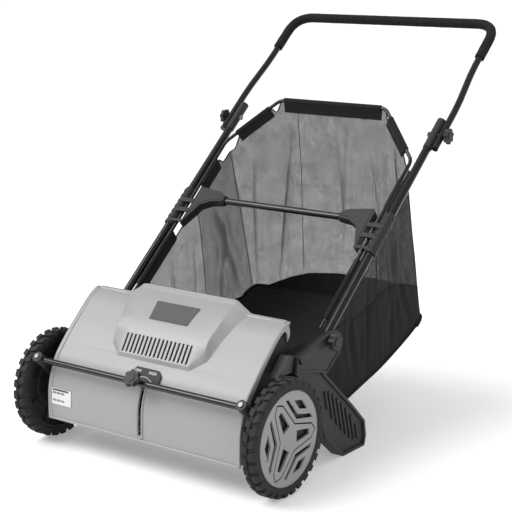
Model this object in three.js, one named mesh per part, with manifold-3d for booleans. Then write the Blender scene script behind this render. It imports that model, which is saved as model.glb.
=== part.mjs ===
import * as THREE from "three";
import { mergeVertices } from "three/addons/utils/BufferGeometryUtils.js";
import Module from "manifold-3d";

const wasm = await Module();
wasm.setup();

// A push lawn sweeper in millimetres. Z is up, Y runs backwards and X to the right, as seen from
// the front. Sizes are measured from the ground point under the wheel axle.

const gap = 0.4; // between pieces that touch

const wheel = {
  radius: 125,
  insideX: 302,
  outsideX: 335.2,
  rimRadius: 103,
  webX: 319,
};
const axle = { radius: 8, innerX: 250, outerX: 328 };
const gears = { module: 2, ringTeeth: 47, pinionTeeth: 10, startX: 304, endX: 316 };
const brush = { angle: -48.6, radius: 85, firstRow: 25, halfLength: 250, rows: 4, coreRadius: 14, shaftRadius: 6 };
const hood = { halfWidth: 268, wall: 3, slotHalfWidth: 4.5 };
const adjuster = { armInnerX: 278, armOuterX: 290, rodRadius: 7, angle: 137.4, reach: 117, bossX: 283 };
const leg = { innerX: 263, legX: 295, armX: 300, bandX: 304, knobY: 191, knobZ: 283 };
const handle = { tilt: 40.7, baseY: 213, baseZ: 302 };
const lowerTube = { x: 288, radius: 9.5, wall: 1.4, start: -78, end: 613 };
const sleeve = { radius: 11, start: 524, end: 612 };
const clamp = { start: 206, end: 320, radius: 13.5, grooveRadius: 12, ribs: 7 };
const crossbar = { at: 298, radius: 8, halfLength: 205 };
const upperTube = { x: 307.5, gripX: 297, radius: 8, wall: 1.4, start: 524, end: 936.5, corner: 56 };
const grip = { start: 820, radius: 12 };
const foldJoint = { at: 567 };
const bagRod = { x: 266, radius: 4.5, start: -40, bend: 30 };
const bag = { sideX: 256, thickness: 2.4, topHalf: 153, topY: 647, topZ: 724, midX: 269, midY: 573, midZ: 619 };
const knobSize = { radius: 20, thickness: 15, lobes: 7 };

const colours = {
  hoodGrey: { color: 0xb9bfc4, roughness: 0.45, metalness: 0 },
  capGrey: { color: 0x9fa1a3, roughness: 0.5, metalness: 0 },
  badgeGrey: { color: 0x5c5f62, roughness: 0.4, metalness: 0 },
  labelWhite: { color: 0xe6e7e8, roughness: 0.6, metalness: 0 },
  blackPlastic: { color: 0x2c2d2e, roughness: 0.55, metalness: 0 },
  blackPaint: { color: 0x161718, roughness: 0.3, metalness: 0.4 },
  steel: { color: 0xb4b7ba, roughness: 0.3, metalness: 1 },
  tyreRubber: { color: 0x343536, roughness: 0.8, metalness: 0 },
  foam: { color: 0x1b1c1d, roughness: 0.9, metalness: 0 },
  bristle: { color: 0x222324, roughness: 0.7, metalness: 0 },
  fabric: { color: 0x2a2b2c, roughness: 0.9, metalness: 0 },
  mesh: { color: 0x7d7f80, roughness: 0.9, metalness: 0 },
};

const radians = THREE.MathUtils.degToRad;
const xAxis = new THREE.Vector3(1, 0, 0);
const yAxis = new THREE.Vector3(0, 1, 0);
const zAxis = new THREE.Vector3(0, 0, 1);
const alongX = new THREE.Matrix4().makeBasis(yAxis, zAxis, xAxis);

const handleFrame = new THREE.Matrix4()
  .makeRotationX(radians(handle.tilt))
  .setPosition(0, handle.baseY, handle.baseZ);

// A point at x, a distance up the handle tubes and a height over their plane.
function onHandle(x, distance, height = 0) {
  return new THREE.Vector3(x, distance, height).applyMatrix4(handleFrame);
}

// A point at x, in the direction of an angle round the wheel axle.
function roundAxle(x, angle, reach) {
  const a = radians(angle);
  return new THREE.Vector3(x, reach * Math.cos(a), wheel.radius + reach * Math.sin(a));
}

const brushOffset = (gears.module * (gears.ringTeeth - gears.pinionTeeth)) / 2;
const brushCentre = roundAxle(0, brush.angle, brushOffset);

// ---- solids ----

function solidFrom(geometry) {
  const flat = geometry.index ? geometry.toNonIndexed() : geometry.clone();
  flat.deleteAttribute("normal");
  flat.deleteAttribute("uv");
  const merged = mergeVertices(flat, 1e-3);
  const corners = merged.index.array;
  const triangles = [];
  for (let i = 0; i < corners.length; i += 3) {
    const [a, b, c] = [corners[i], corners[i + 1], corners[i + 2]];
    if (a !== b && b !== c && c !== a) triangles.push(a, b, c);
  }
  const vertProperties = merged.attributes.position.array;
  const build = (list) =>
    new wasm.Manifold(new wasm.Mesh({ numProp: 3, vertProperties, triVerts: new Uint32Array(list) }));
  const solid = build(triangles);
  return solid.volume() < 0 ? build(triangles.reverse()) : solid;
}

function geometryFrom(solid) {
  const mesh = solid.getMesh();
  const geometry = new THREE.BufferGeometry();
  geometry.setAttribute("position", new THREE.BufferAttribute(mesh.vertProperties, 3));
  geometry.setIndex(new THREE.BufferAttribute(mesh.triVerts, 1));
  const flat = geometry.toNonIndexed();
  flat.computeVertexNormals();
  return flat;
}

const join = (first, ...rest) => rest.reduce((whole, piece) => whole.add(piece), first);
const cut = (base, ...tools) => tools.reduce((whole, tool) => whole.subtract(tool), base);

// An outline of [y, z] points pulled along X.
function prism(outline, fromX, toX) {
  const shape = outline instanceof THREE.Shape ? outline : shapeOf(outline);
  const geometry = new THREE.ExtrudeGeometry(shape, { depth: toX - fromX, bevelEnabled: false });
  return solidFrom(geometry.applyMatrix4(alongX).translate(fromX, 0, 0));
}

// An outline of [x, distance] points pulled up from the handle's plane.
function handlePlate(outline, fromHeight, toHeight) {
  const depth = toHeight - fromHeight;
  const geometry = new THREE.ExtrudeGeometry(shapeOf(outline), { depth, bevelEnabled: false });
  return solidFrom(geometry.translate(0, 0, fromHeight).applyMatrix4(handleFrame));
}

function shapeOf(points) {
  return new THREE.Shape(points.map(([a, b]) => new THREE.Vector2(a, b)));
}

// A round bar between two points.
function bar(radius, start, end, sides = 12) {
  const span = end.clone().sub(start);
  const geometry = new THREE.CylinderGeometry(radius, radius, span.length(), sides);
  geometry.applyQuaternion(new THREE.Quaternion().setFromUnitVectors(yAxis, span.normalize()));
  const middle = start.clone().lerp(end, 0.5);
  return solidFrom(geometry.translate(middle.x, middle.y, middle.z));
}

const barAlongX = (radius, y, z, fromX, toX, sides = 12) =>
  bar(radius, new THREE.Vector3(fromX, y, z), new THREE.Vector3(toX, y, z), sides);

// A profile of [radius, x] points turned about the wheel axle.
function turned(profile, segments) {
  const geometry = new THREE.LatheGeometry(profile.map(([r, x]) => new THREE.Vector2(r, x)), segments);
  return solidFrom(geometry.rotateZ(-Math.PI / 2).translate(0, 0, wheel.radius));
}

// Closed loops with equal counts of points, skinned one to the next and capped at both ends.
function loft(loops, flatten) {
  const count = loops[0].length;
  const triangles = [];
  for (let i = 0; i + 1 < loops.length; i++) {
    for (let j = 0; j < count; j++) {
      const k = (j + 1) % count;
      triangles.push(loops[i][j], loops[i + 1][j], loops[i + 1][k]);
      triangles.push(loops[i][j], loops[i + 1][k], loops[i][k]);
    }
  }
  const last = loops[loops.length - 1];
  for (const face of capFaces(loops[0], flatten)) triangles.push(...face.map((i) => loops[0][i]));
  for (const face of capFaces(last, flatten)) triangles.push(...face.reverse().map((i) => last[i]));
  return solidFrom(new THREE.BufferGeometry().setFromPoints(triangles));
}

// Triangles over a flat loop, each wound the way the loop runs.
function capFaces(loop, flatten) {
  const outline = loop.map(flatten);
  const windingOf = (points) => Math.sign(THREE.ShapeUtils.area(points));
  const winding = windingOf(outline);
  const faces = THREE.ShapeUtils.triangulateShape(outline, []);
  return faces.map((face) => (windingOf(face.map((i) => outline[i])) === winding ? face : face.reverse()));
}

// A route through corners, each rounded to a radius.
function roundedRoute(corners, radius, steps = 5) {
  const points = [corners[0]];
  for (let i = 1; i + 1 < corners.length; i++) {
    const here = corners[i];
    const back = corners[i - 1].clone().sub(here).normalize();
    const on = corners[i + 1].clone().sub(here).normalize();
    const reach = radius / Math.tan(back.angleTo(on) / 2);
    const start = here.clone().addScaledVector(back, reach);
    const end = here.clone().addScaledVector(on, reach);
    points.push(...new THREE.QuadraticBezierCurve3(start, here, end).getPoints(steps));
  }
  points.push(corners[corners.length - 1]);
  return points;
}

// A curve that steps from point to point of a route.
class Route extends THREE.Curve {
  constructor(points) {
    super();
    this.points = points;
  }
  getPointAt(t, target = new THREE.Vector3()) {
    return target.copy(this.points[Math.round(t * (this.points.length - 1))]);
  }
  getTangentAt(t, target = new THREE.Vector3()) {
    const last = this.points.length - 1;
    const i = Math.round(t * last);
    const before = this.points[i].clone().sub(this.points[Math.max(i - 1, 0)]).normalize();
    const after = this.points[Math.min(i + 1, last)].clone().sub(this.points[i]).normalize();
    return target.copy(before.add(after)).normalize();
  }
}

function circlePoints(radius, sides) {
  return Array.from({ length: sides }, (_, i) => {
    const angle = (2 * Math.PI * (i + 0.5)) / sides;
    return new THREE.Vector2(radius * Math.cos(angle), radius * Math.sin(angle));
  });
}

// A round tube or rod along a route; a bore of 0 makes it solid.
function tube(points, radius, bore, sides) {
  const shape = new THREE.Shape(circlePoints(radius, sides));
  if (bore > 0) shape.holes.push(new THREE.Path(circlePoints(bore, sides).reverse()));
  const extrudePath = new Route(points);
  return solidFrom(new THREE.ExtrudeGeometry(shape, { steps: points.length - 1, extrudePath }));
}

// ---- the tree of named meshes ----

const sweeper = new THREE.Group();
const model = new THREE.Group();
sweeper.add(model);

function add(name, solid, finish) {
  const mesh = new THREE.Mesh(geometryFrom(solid), new THREE.MeshStandardMaterial(colours[finish]));
  mesh.name = name;
  model.add(mesh);
}

function mirrored(solid) {
  return solidFrom(geometryFrom(solid).scale(-1, 1, 1));
}

// The right-hand piece as it is, and its mirror image on the left.
function addPair(name, solid, finish) {
  add(name + "_right", solid, finish);
  add(name + "_left", mirrored(solid), finish);
}

// ---- hood ----

// Side view of the hood's skin, from the bottom edge at the front to the rear rim, as [y, z].
const hoodLine = [
  [-79, 72],
  [-79, 110],
  [-77, 143],
  [-69, 173],
  [-55, 206],
  [-41, 225],
  [-3, 266],
  [40, 306],
  [59, 323],
  [80, 336],
  [94, 339],
  [98, 318],
];

// The raised centre panel's top line, with its half width on top and at its foot.
const panelStations = [
  { y: -33, z: 243, top: 97, foot: 100 },
  { y: -28, z: 250, top: 101, foot: 106 },
  { y: -14, z: 272.4, top: 123, foot: 130 },
  { y: -3, z: 290, top: 124, foot: 133 },
  { y: 18, z: 311, top: 125, foot: 139 },
  { y: 58, z: 342, top: 126, foot: 155 },
  { y: 94, z: 363, top: 126, foot: 166 },
];

const bevelDepth = (i) => 2 + (18 * i) / (hoodLine.length - 1);
const bevelWidth = (i) => 3 + (23 * i) / (hoodLine.length - 1);

// A line of [y, z] points drawn in towards the brush chamber by a distance that may differ along it.
function inset(line, distance) {
  const [middleY, middleZ] = [20, 170];
  return line.map(([y, z], i) => {
    const share = distance(i) / Math.hypot(y - middleY, z - middleZ);
    return [y + share * (middleY - y), z + share * (middleZ - z)];
  });
}

function hoodLoop(side, atEnd, wall) {
  const line = inset(hoodLine, (i) => wall + (atEnd ? bevelDepth(i) : 0));
  const endX = hood.halfWidth - wall;
  const points = line.map(([y, z], i) => {
    const x = atEnd ? endX : endX - bevelWidth(i);
    return new THREE.Vector3(side * x, y, z);
  });
  if (wall === 0) return points;
  const x = atEnd ? side * endX : points[0].x;
  const openBelow = [[line[0][0], 50]].map(([y, z]) => new THREE.Vector3(x, y, z));
  const openBehind = [
    [95, 200],
    [60, 50],
  ].map(([y, z]) => new THREE.Vector3(x, y, z));
  return [...openBelow, ...points, ...openBehind];
}

function hoodBody(wall) {
  const loops = [
    hoodLoop(-1, true, wall),
    hoodLoop(-1, false, wall),
    hoodLoop(1, false, wall),
    hoodLoop(1, true, wall),
  ];
  return loft(loops, (p) => new THREE.Vector2(p.y, p.z));
}

// The hood line's height at a distance behind the axle.
function hoodHeight(y) {
  const i = hoodLine.findIndex(([lineY], n) => n > 2 && lineY >= y);
  const [y0, z0] = hoodLine[i - 1];
  const [y1, z1] = hoodLine[i];
  return z0 + ((z1 - z0) * (y - y0)) / (y1 - y0);
}

function raisedPanel(wall, sink) {
  const loops = panelStations.map(({ y, z, top, foot }) => {
    const low = hoodHeight(y) - sink;
    const high = z - wall * 1.4;
    const corners = [
      [-(foot - wall), low],
      [foot - wall, low],
      [top - wall, high],
      [-(top - wall), high],
    ];
    return corners.map(([x, height]) => new THREE.Vector3(x, y, height));
  });
  return loft(loops, (p) => new THREE.Vector2(p.x, p.z));
}

// A flat piece on the panel between two stations: its frame has x across and y up the slope.
function panelFrame(from, to) {
  const start = panelStations[from];
  const slope = Math.atan2(panelStations[to].z - start.z, panelStations[to].y - start.y);
  return new THREE.Matrix4().makeRotationX(slope).setPosition(0, start.y, start.z);
}

function onPanel(shape, frame, fromHeight, toHeight) {
  const settings = { depth: toHeight - fromHeight, bevelEnabled: false };
  const geometry = new THREE.ExtrudeGeometry(shape, settings);
  return solidFrom(geometry.translate(0, 0, fromHeight).applyMatrix4(frame));
}

const vent = { halfWidth: 94, low: 3, high: 45, slots: 17, slotHalf: 2.6, depth: 2.8 };

function ventOutline(grow) {
  const side = vent.halfWidth + grow;
  const low = vent.low - grow;
  const high = vent.high + grow;
  return [
    [-side, low],
    [side, low],
    [side, high],
    [-side + 10, high],
    [-side, high - 22],
  ];
}

function makeHood() {
  const skin = join(hoodBody(0), raisedPanel(0, 2));
  const bottomLip = prism([[-82.5, 72], [-82.5, 78], [-78, 80], [-78, 72]], -hood.halfWidth, hood.halfWidth);
  const slotSide = [[-95, 84], [-95, 150], [-76, 210], [-50, 193], [-60, 150], [-60, 84]];
  const slot = prism(slotSide, -hood.slotHalfWidth, hood.slotHalfWidth);
  const window = onPanel(shapeOf(ventOutline(0)), panelFrame(1, 3), -8, 8);
  const shell = cut(skin, hoodBody(hood.wall), raisedPanel(hood.wall, 14));
  add("hood", cut(join(shell, bottomLip), slot, window), "hoodGrey");
}

function makeVentGrille() {
  const frame = panelFrame(1, 3);
  const pitch = (2 * vent.halfWidth - 10) / vent.slots;
  const slots = Array.from({ length: vent.slots }, (_, i) => {
    const x = -vent.halfWidth + 10 + pitch * (i + 0.3);
    const [left, right] = [x - vent.slotHalf, x + vent.slotHalf];
    const [low, high] = [vent.low + 4, vent.high - 4];
    return onPanel(shapeOf([[left, low], [right, low], [right, high], [left, high]]), frame, -8, 8);
  });
  const plate = onPanel(shapeOf(ventOutline(-gap)), frame, -vent.depth, 0);
  add("vent_grille", cut(plate, ...slots), "hoodGrey");
}

function makeBadge() {
  const outline = [[-52, 1], [52, 1], [59, 50], [-59, 50]];
  add("badge_plate", onPanel(shapeOf(outline), panelFrame(4, 5), gap, 2.2), "badgeGrey");
}

function makeLabel() {
  const front = [[-79.4, 106], [-77.4, 142], [-78.3, 142], [-80.3, 106]];
  add("hood_label", prism(front, -262, -200), "labelWhite");
}

// The height scale lies on the slope just above the slot.
function makeScalePlate() {
  const [y0, z0] = [-62, 190];
  const [y1, z1] = [-43, 222];
  const frame = new THREE.Matrix4().makeRotationX(Math.atan2(z1 - z0, y1 - y0)).setPosition(0, y0, z0);
  const length = Math.hypot(y1 - y0, z1 - z0);
  const [half, corner] = [40, 11];
  const outline = [
    [-half, 0],
    [half, 0],
    [half, length - corner],
    [half - corner, length],
    [-half + corner, length],
    [-half, length - corner],
  ];
  add("height_scale_plate", onPanel(shapeOf(outline), frame, 3, 6.5), "blackPlastic");
}

// ---- chassis sides, axles and stand legs ----

function arcBand(inner, outer, fromAngle, toAngle, steps) {
  const at = (angle, reach) => {
    const p = roundAxle(0, angle, reach);
    return [p.y, p.z];
  };
  const angles = Array.from({ length: steps + 1 }, (_, i) => fromAngle + ((toAngle - fromAngle) * i) / steps);
  return [...angles.map((a) => at(a, outer)), ...angles.reverse().map((a) => at(a, inner))];
}

function makeSidePlates() {
  const top = inset(hoodLine.slice(0, -2), (i) => 9 + bevelDepth(i));
  const rear = [[112, 262], [158, 228], [163, 90], [150, 52], [-40, 52]];
  const [innerX, outerX] = [258.4, 262];
  const reach = brush.shaftRadius + 1.4;
  const plate = prism([...top, ...rear], innerX, outerX);
  const shaftSlot = arcBand(brushOffset - reach, brushOffset + reach, brush.angle - 11, brush.angle + 71, 12);
  const bore = barAlongX(axle.radius + gap, 0, wheel.radius, innerX - 1, outerX + 1);
  addPair("side_plate", cut(plate, prism(shaftSlot, innerX - 1, outerX + 1), bore), "blackPlastic");
}

function makeAxles() {
  const shank = barAlongX(axle.radius, 0, wheel.radius, axle.innerX, axle.outerX);
  const collar = barAlongX(13, 0, wheel.radius, axle.innerX - 2, 258);
  addPair("axle_stub", join(shank, collar), "steel");
}

const legOutline = [
  [78, 272], [205, 302], [219, 300], [238, 247], [187, 210], [301, 108], [350, 60],
  [356, 23], [350, 0], [262, 0], [192, 60], [150, 165], [72, 240],
];
const armOutline = [[78, 272], [205, 302], [219, 300], [238, 247], [187, 210], [150, 222], [72, 240]];
const bandOutline = [[78, 272], [205, 302], [219, 300], [227, 278], [205, 280], [86, 254]];

function makeLegs() {
  const body = join(
    prism(legOutline, leg.innerX, leg.legX),
    prism(armOutline, leg.innerX, leg.armX),
    prism(bandOutline, leg.innerX, leg.bandX),
    barAlongX(12, leg.knobY, leg.knobZ, leg.legX, leg.bandX + 1),
  );
  const socketRadius = lowerTube.radius + gap;
  const socket = bar(socketRadius, onHandle(lowerTube.x, lowerTube.start - 2), onHandle(lowerTube.x, 60));
  const boltBore = barAlongX(3.4, leg.knobY, leg.knobZ, leg.innerX, leg.bandX + 2, 12);
  const rodChannel = handlePlate([[255, -46], [272, -46], [272, 80], [255, 80]], -78, bagRod.radius + 1.5);
  addPair("stand_leg", cut(body, socket, boltBore, rodChannel), "blackPlastic");
}

function makeHoodClips() {
  const outline = [[18, 240], [57, 279], [76.5, 273.5], [70.5, 241]];
  addPair("hood_clip", prism(outline, 269, 290), "blackPlastic");
}

function makeTieBar() {
  add("rear_tie_bar", barAlongX(6, 148, 66, -258, 258, 12), "blackPaint");
}

// ---- handle, lower half ----

function straightOnHandle(x, from, to) {
  return [onHandle(x, from), onHandle(x, to)];
}

function crossBore(x0, x1, distance, radius = 3.4) {
  return bar(radius, onHandle(x0, distance), onHandle(x1, distance), 12);
}

function makeLowerTubes() {
  const line = straightOnHandle(lowerTube.x, lowerTube.start, lowerTube.end);
  const body = tube(line, lowerTube.radius, lowerTube.radius - lowerTube.wall, 12);
  const legBore = barAlongX(3.4, leg.knobY, leg.knobZ, leg.innerX, leg.bandX, 12);
  addPair("lower_tube", cut(body, legBore, crossBore(270, 304, foldJoint.at)), "blackPaint");
}

function makeSleeves() {
  const line = straightOnHandle(lowerTube.x, sleeve.start, sleeve.end);
  const body = tube(line, sleeve.radius, lowerTube.radius + gap, 14);
  addPair("tube_sleeve", cut(body, crossBore(270, 304, foldJoint.at)), "blackPlastic");
}

function ribbedRoll() {
  const pitch = (clamp.end - clamp.start) / clamp.ribs;
  const bore = lowerTube.radius + gap;
  const profile = [[bore, clamp.start]];
  for (let i = 0; i < clamp.ribs; i++) {
    const from = clamp.start + i * pitch;
    profile.push([clamp.radius, from], [clamp.radius, from + 0.7 * pitch]);
    profile.push([clamp.grooveRadius, from + 0.75 * pitch], [clamp.grooveRadius, from + 0.95 * pitch]);
  }
  profile.push([clamp.grooveRadius, clamp.end], [bore, clamp.end], [bore, clamp.start]);
  const lathe = new THREE.LatheGeometry(profile.map(([r, s]) => new THREE.Vector2(r, s)), 12);
  return solidFrom(lathe.translate(lowerTube.x, 0, 0).applyMatrix4(handleFrame));
}

function makeClamps() {
  const gusset = [
    [250, 208], [252, 316], [246, 324], [188, 316], [172, 308], [170, 288], [200, 284], [224, 270], [240, 232],
  ];
  const prong = (at) => handlePlate([[248, at], [286, at], [286, at + 12], [248, at + 12]], 9.2, 13.8);
  const foot = handlePlate([[246, 211], [284, 211], [284, 219], [246, 219]], 9.2, 12.5);
  const body = join(ribbedRoll(), handlePlate(gusset, -9, 12), prong(242), prong(272), foot);
  const barBore = bar(crossbar.radius + gap, onHandle(150, crossbar.at), onHandle(crossbar.halfLength + 3, crossbar.at));
  const tubeBore = bar(lowerTube.radius + gap, ...straightOnHandle(lowerTube.x, clamp.start - 9, clamp.end + 9), 12);
  addPair("handle_clamp", cut(body, barBore, tubeBore), "blackPlastic");
}

function makeCrossbar() {
  const half = crossbar.halfLength;
  const line = [onHandle(-half, crossbar.at), onHandle(half, crossbar.at)];
  add("crossbar", tube(line, crossbar.radius, crossbar.radius - 1.4, 14), "blackPaint");
}

// ---- handle, upper half ----

function upperRoute() {
  const { x, gripX, start, end, corner } = upperTube;
  const right = [
    onHandle(x, start),
    onHandle(x, 645),
    onHandle(gripX, 790),
    onHandle(gripX, end),
  ];
  const left = right.map((p) => new THREE.Vector3(-p.x, p.y, p.z)).reverse();
  return [right, left, corner];
}

// The whole U from the right-hand end to the left-hand end.
function upperLine() {
  const [right, left, corner] = upperRoute();
  const bends = roundedRoute([...right.slice(1), ...left.slice(0, -1)], corner, 5);
  return [right[0], ...bends, left[left.length - 1]];
}

function gripLine() {
  const { gripX, end, corner } = upperTube;
  const corners = [
    onHandle(gripX, grip.start),
    onHandle(gripX, end),
    onHandle(-gripX, end),
    onHandle(-gripX, grip.start),
  ];
  return roundedRoute(corners, corner, 5);
}

function makeUpperHandle() {
  const body = tube(upperLine(), upperTube.radius, upperTube.radius - upperTube.wall, 10);
  const bores = [crossBore(296, 318, foldJoint.at), crossBore(-318, -296, foldJoint.at)];
  add("upper_handle_tube", cut(body, ...bores), "blackPaint");
  add("foam_grip", tube(gripLine(), grip.radius, upperTube.radius + gap, 10), "foam");
}

// ---- star knobs and bolts ----

function starOutline(radius, lobes) {
  const steps = lobes * 4;
  return Array.from({ length: steps }, (_, i) => {
    const angle = (2 * Math.PI * i) / steps;
    const r = radius * (0.88 + 0.12 * Math.cos(lobes * angle));
    return [r * Math.cos(angle), r * Math.sin(angle)];
  });
}

// A star knob standing on a point, turned about a direction, with a blind bore for its bolt.
function starKnob(seat, direction, radius, thickness, boreDepth) {
  const plate = new THREE.ExtrudeGeometry(shapeOf(starOutline(radius, knobSize.lobes)), {
    depth: thickness * 0.6,
    bevelEnabled: false,
  });
  const turn = new THREE.Quaternion().setFromUnitVectors(zAxis, direction);
  const place = (geometry) => solidFrom(geometry.applyQuaternion(turn).translate(seat.x, seat.y, seat.z));
  const at = (distance) => seat.clone().addScaledVector(direction, distance);
  const star = place(plate.translate(0, 0, thickness * 0.3));
  const hub = bar(radius * 0.5, at(0), at(thickness), 14);
  return cut(join(star, hub), bar(3.4, at(-1), at(boreDepth), 10));
}

function makeLegKnobs() {
  const seat = new THREE.Vector3(leg.bandX + 1 + gap, leg.knobY, leg.knobZ);
  addPair("leg_knob", starKnob(seat, xAxis, knobSize.radius + 1, 20, 16), "blackPlastic");
  addPair("leg_bolt", barAlongX(3, leg.knobY, leg.knobZ, 273, seat.x + 15, 10), "steel");
}

function makeFoldKnobs() {
  const outside = upperTube.x + upperTube.radius + gap;
  const seat = onHandle(outside, foldJoint.at);
  addPair("fold_knob", starKnob(seat, xAxis, knobSize.radius - 1, knobSize.thickness, 12), "blackPlastic");
  const shank = bar(3, onHandle(273, foldJoint.at), onHandle(outside + 11, foldJoint.at), 10);
  const head = bar(6.5, onHandle(272, foldJoint.at), onHandle(276.6, foldJoint.at), 6);
  addPair("fold_bolt", join(shank, head), "steel");
}

// ---- height adjuster ----

function discAt(centre, radius, fromX, toX) {
  return barAlongX(radius, centre.y, centre.z, fromX, toX, 14);
}

function makeAdjusterArms() {
  const { armInnerX, armOuterX, angle, reach, bossX } = adjuster;
  const centre = roundAxle(0, angle, 0);
  const spoke = (toAngle, length, rootHalf, tipHalf) => {
    const corner = (r, side) => {
      const p = roundAxle(0, toAngle, r);
      const q = roundAxle(0, toAngle + 90, side).sub(centre);
      return [p.y + q.y, p.z + q.z];
    };
    const outline = [corner(0, rootHalf), corner(length, tipHalf), corner(length, -tipHalf), corner(0, -rootHalf)];
    return prism(outline, armInnerX, armOuterX);
  };
  const boss = bar(12, roundAxle(bossX, angle, reach - 13), roundAxle(bossX, angle, reach + 13), 14);
  const body = join(
    spoke(angle, reach, 14, 9),
    spoke(brush.angle, brushOffset, 12, 12),
    discAt(centre, 20, armInnerX, armOuterX),
    discAt(brushCentre, 13, armInnerX, armOuterX),
    boss,
  );
  const rodEnd = roundAxle(0, angle, reach);
  addPair("adjuster_arm", cut(
    body,
    discAt(centre, axle.radius + gap, armInnerX - 1, armOuterX + 1),
    discAt(brushCentre, brush.shaftRadius + gap, armInnerX - 1, armOuterX + 1),
    discAt(rodEnd, adjuster.rodRadius + gap, bossX - 20, bossX + 1),
    bar(2.9, roundAxle(bossX, angle, reach + 7), roundAxle(bossX, angle, reach + 15), 10),
  ), "blackPlastic");
  const head = bar(5.2, roundAxle(bossX, angle, reach + 13.3), roundAxle(bossX, angle, reach + 16), 12);
  const shank = bar(2.5, roundAxle(bossX, angle, reach + 8.5), roundAxle(bossX, angle, reach + 14), 10);
  addPair("rod_screw", join(head, shank), "steel");
}

function makeAdjusterRod() {
  const { angle, reach, bossX, rodRadius } = adjuster;
  const centre = roundAxle(0, angle, reach);
  const rod = barAlongX(rodRadius, centre.y, centre.z, -bossX + 0.5, bossX - 0.5, 12);
  const bore = bar(3.4, roundAxle(0, angle, reach - 15), roundAxle(0, angle, reach + 15), 10);
  add("adjuster_rod", cut(rod, bore), "blackPaint");
  const shank = bar(3, roundAxle(0, angle, 70), roundAxle(0, angle, reach + 20), 10);
  const nut = bar(8, roundAxle(0, angle, 69), roundAxle(0, angle, 74), 6);
  add("adjuster_bolt", join(shank, nut), "steel");
  const outward = roundAxle(0, angle, 1).sub(roundAxle(0, angle, 0));
  const seat = roundAxle(0, angle, reach + rodRadius + gap);
  add("adjuster_knob", starKnob(seat, outward, knobSize.radius, 18, 14), "blackPlastic");
}

// ---- wheels and gears ----

// Teeth as [angle from the tooth's centre in mm of arc, radius] corners, repeated round.
function toothedOutline(teeth, firstAngle, corners) {
  const points = [];
  for (let i = 0; i < teeth; i++) {
    const centre = radians(firstAngle + (360 * i) / teeth);
    for (const [arc, radius] of corners) {
      const angle = centre + arc / radius;
      points.push([radius * Math.cos(angle), radius * Math.sin(angle)]);
    }
  }
  return points;
}

function ringGear() {
  const halfPitch = 180 / gears.ringTeeth;
  const corners = [[-1.7, 49.6], [-0.8, 45.2], [0.8, 45.2], [1.7, 49.6]];
  const inner = toothedOutline(gears.ringTeeth, brush.angle + halfPitch, corners);
  const shape = shapeOf(toothedOutline(20, 0, [[0, 54]]));
  shape.holes.push(new THREE.Path(inner.reverse().map(([a, b]) => new THREE.Vector2(a, b))));
  const settings = { depth: wheel.webX + 1 - gears.startX, bevelEnabled: false };
  const geometry = new THREE.ExtrudeGeometry(shape, settings).applyMatrix4(alongX);
  return solidFrom(geometry.translate(gears.startX, 0, wheel.radius));
}

function pinion() {
  const corners = [[-1.8, 7.8], [-0.75, 11.6], [0.75, 11.6], [1.8, 7.8]];
  const shape = shapeOf(toothedOutline(gears.pinionTeeth, brush.angle, corners));
  shape.holes.push(new THREE.Path(circlePoints(brush.shaftRadius + gap, 16).reverse()));
  const settings = { depth: gears.endX - gears.startX, bevelEnabled: false };
  const geometry = new THREE.ExtrudeGeometry(shape, settings).applyMatrix4(alongX);
  return solidFrom(geometry.translate(gears.startX, brushCentre.y, brushCentre.z));
}

function closedProfile(points) {
  return [...points, points[0]];
}

function makeWheels() {
  const { radius, insideX, outsideX, rimRadius, webX } = wheel;
  const tyre = [
    [rimRadius + gap, insideX + 3], [112, insideX], [121, insideX + 2], [radius, insideX + 7],
    [radius, outsideX - 6], [121, outsideX - 1.5], [112, outsideX], [rimRadius + gap, outsideX - 2],
  ];
  addPair("tyre", turned(closedProfile(tyre), 36), "tyreRubber");
  const bore = axle.radius + gap;
  const rim = [
    [bore, insideX + 1.5], [18, insideX + 1.5], [18, webX], [96, webX], [96, insideX + 1.5],
    [rimRadius, insideX + 1.5], [rimRadius, webX + 5], [bore, webX + 5],
  ];
  addPair("wheel_rim", join(turned(closedProfile(rim), 20), ringGear()), "blackPlastic");
  const capInside = webX + 5 + gap;
  const cap = [
    [bore, capInside], [rimRadius - gap, capInside], [rimRadius - gap, outsideX - 3], [97, outsideX - 1],
    [60, outsideX - 1.5], [21.5, outsideX - 4], [bore, outsideX - 4],
  ];
  addPair("hubcap", turned(closedProfile(cap), 24), "capGrey");
  const button = [[0, outsideX - 3.6], [21, outsideX - 3.6], [21, outsideX - 1.2], [17, outsideX], [0, outsideX]];
  addPair("axle_cap", turned(button, 20), "capGrey");
}

// ---- brush ----

function makeBrush() {
  const { y, z } = brushCentre;
  const shaftEnd = gears.endX + 1.5;
  add("brush_shaft", barAlongX(brush.shaftRadius, y, z, -shaftEnd, shaftEnd, 16), "steel");
  const core = barAlongX(brush.coreRadius, y, z, -brush.halfLength, brush.halfLength);
  const bore = barAlongX(brush.shaftRadius + gap, y, z, -brush.halfLength - 1, brush.halfLength + 1);
  add("brush_core", cut(core, bore), "blackPlastic");
  for (let i = 0; i < brush.rows; i++) {
    const angle = radians(brush.firstRow + (360 * i) / brush.rows);
    const [along, across] = [[Math.cos(angle), Math.sin(angle)], [-Math.sin(angle), Math.cos(angle)]];
    const corner = (r, w) => [y + r * along[0] + w * across[0], z + r * along[1] + w * across[1]];
    const inner = brush.coreRadius + gap;
    const outline = [corner(inner, -4), corner(brush.radius, -2.5), corner(brush.radius, 2.5), corner(inner, 4)];
    const half = brush.halfLength - 2;
    add("bristle_row_" + (i + 1), prism(outline, -half, half), "bristle");
  }
  addPair("pinion", pinion(), "blackPlastic");
}

// ---- collection bag ----

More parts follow.
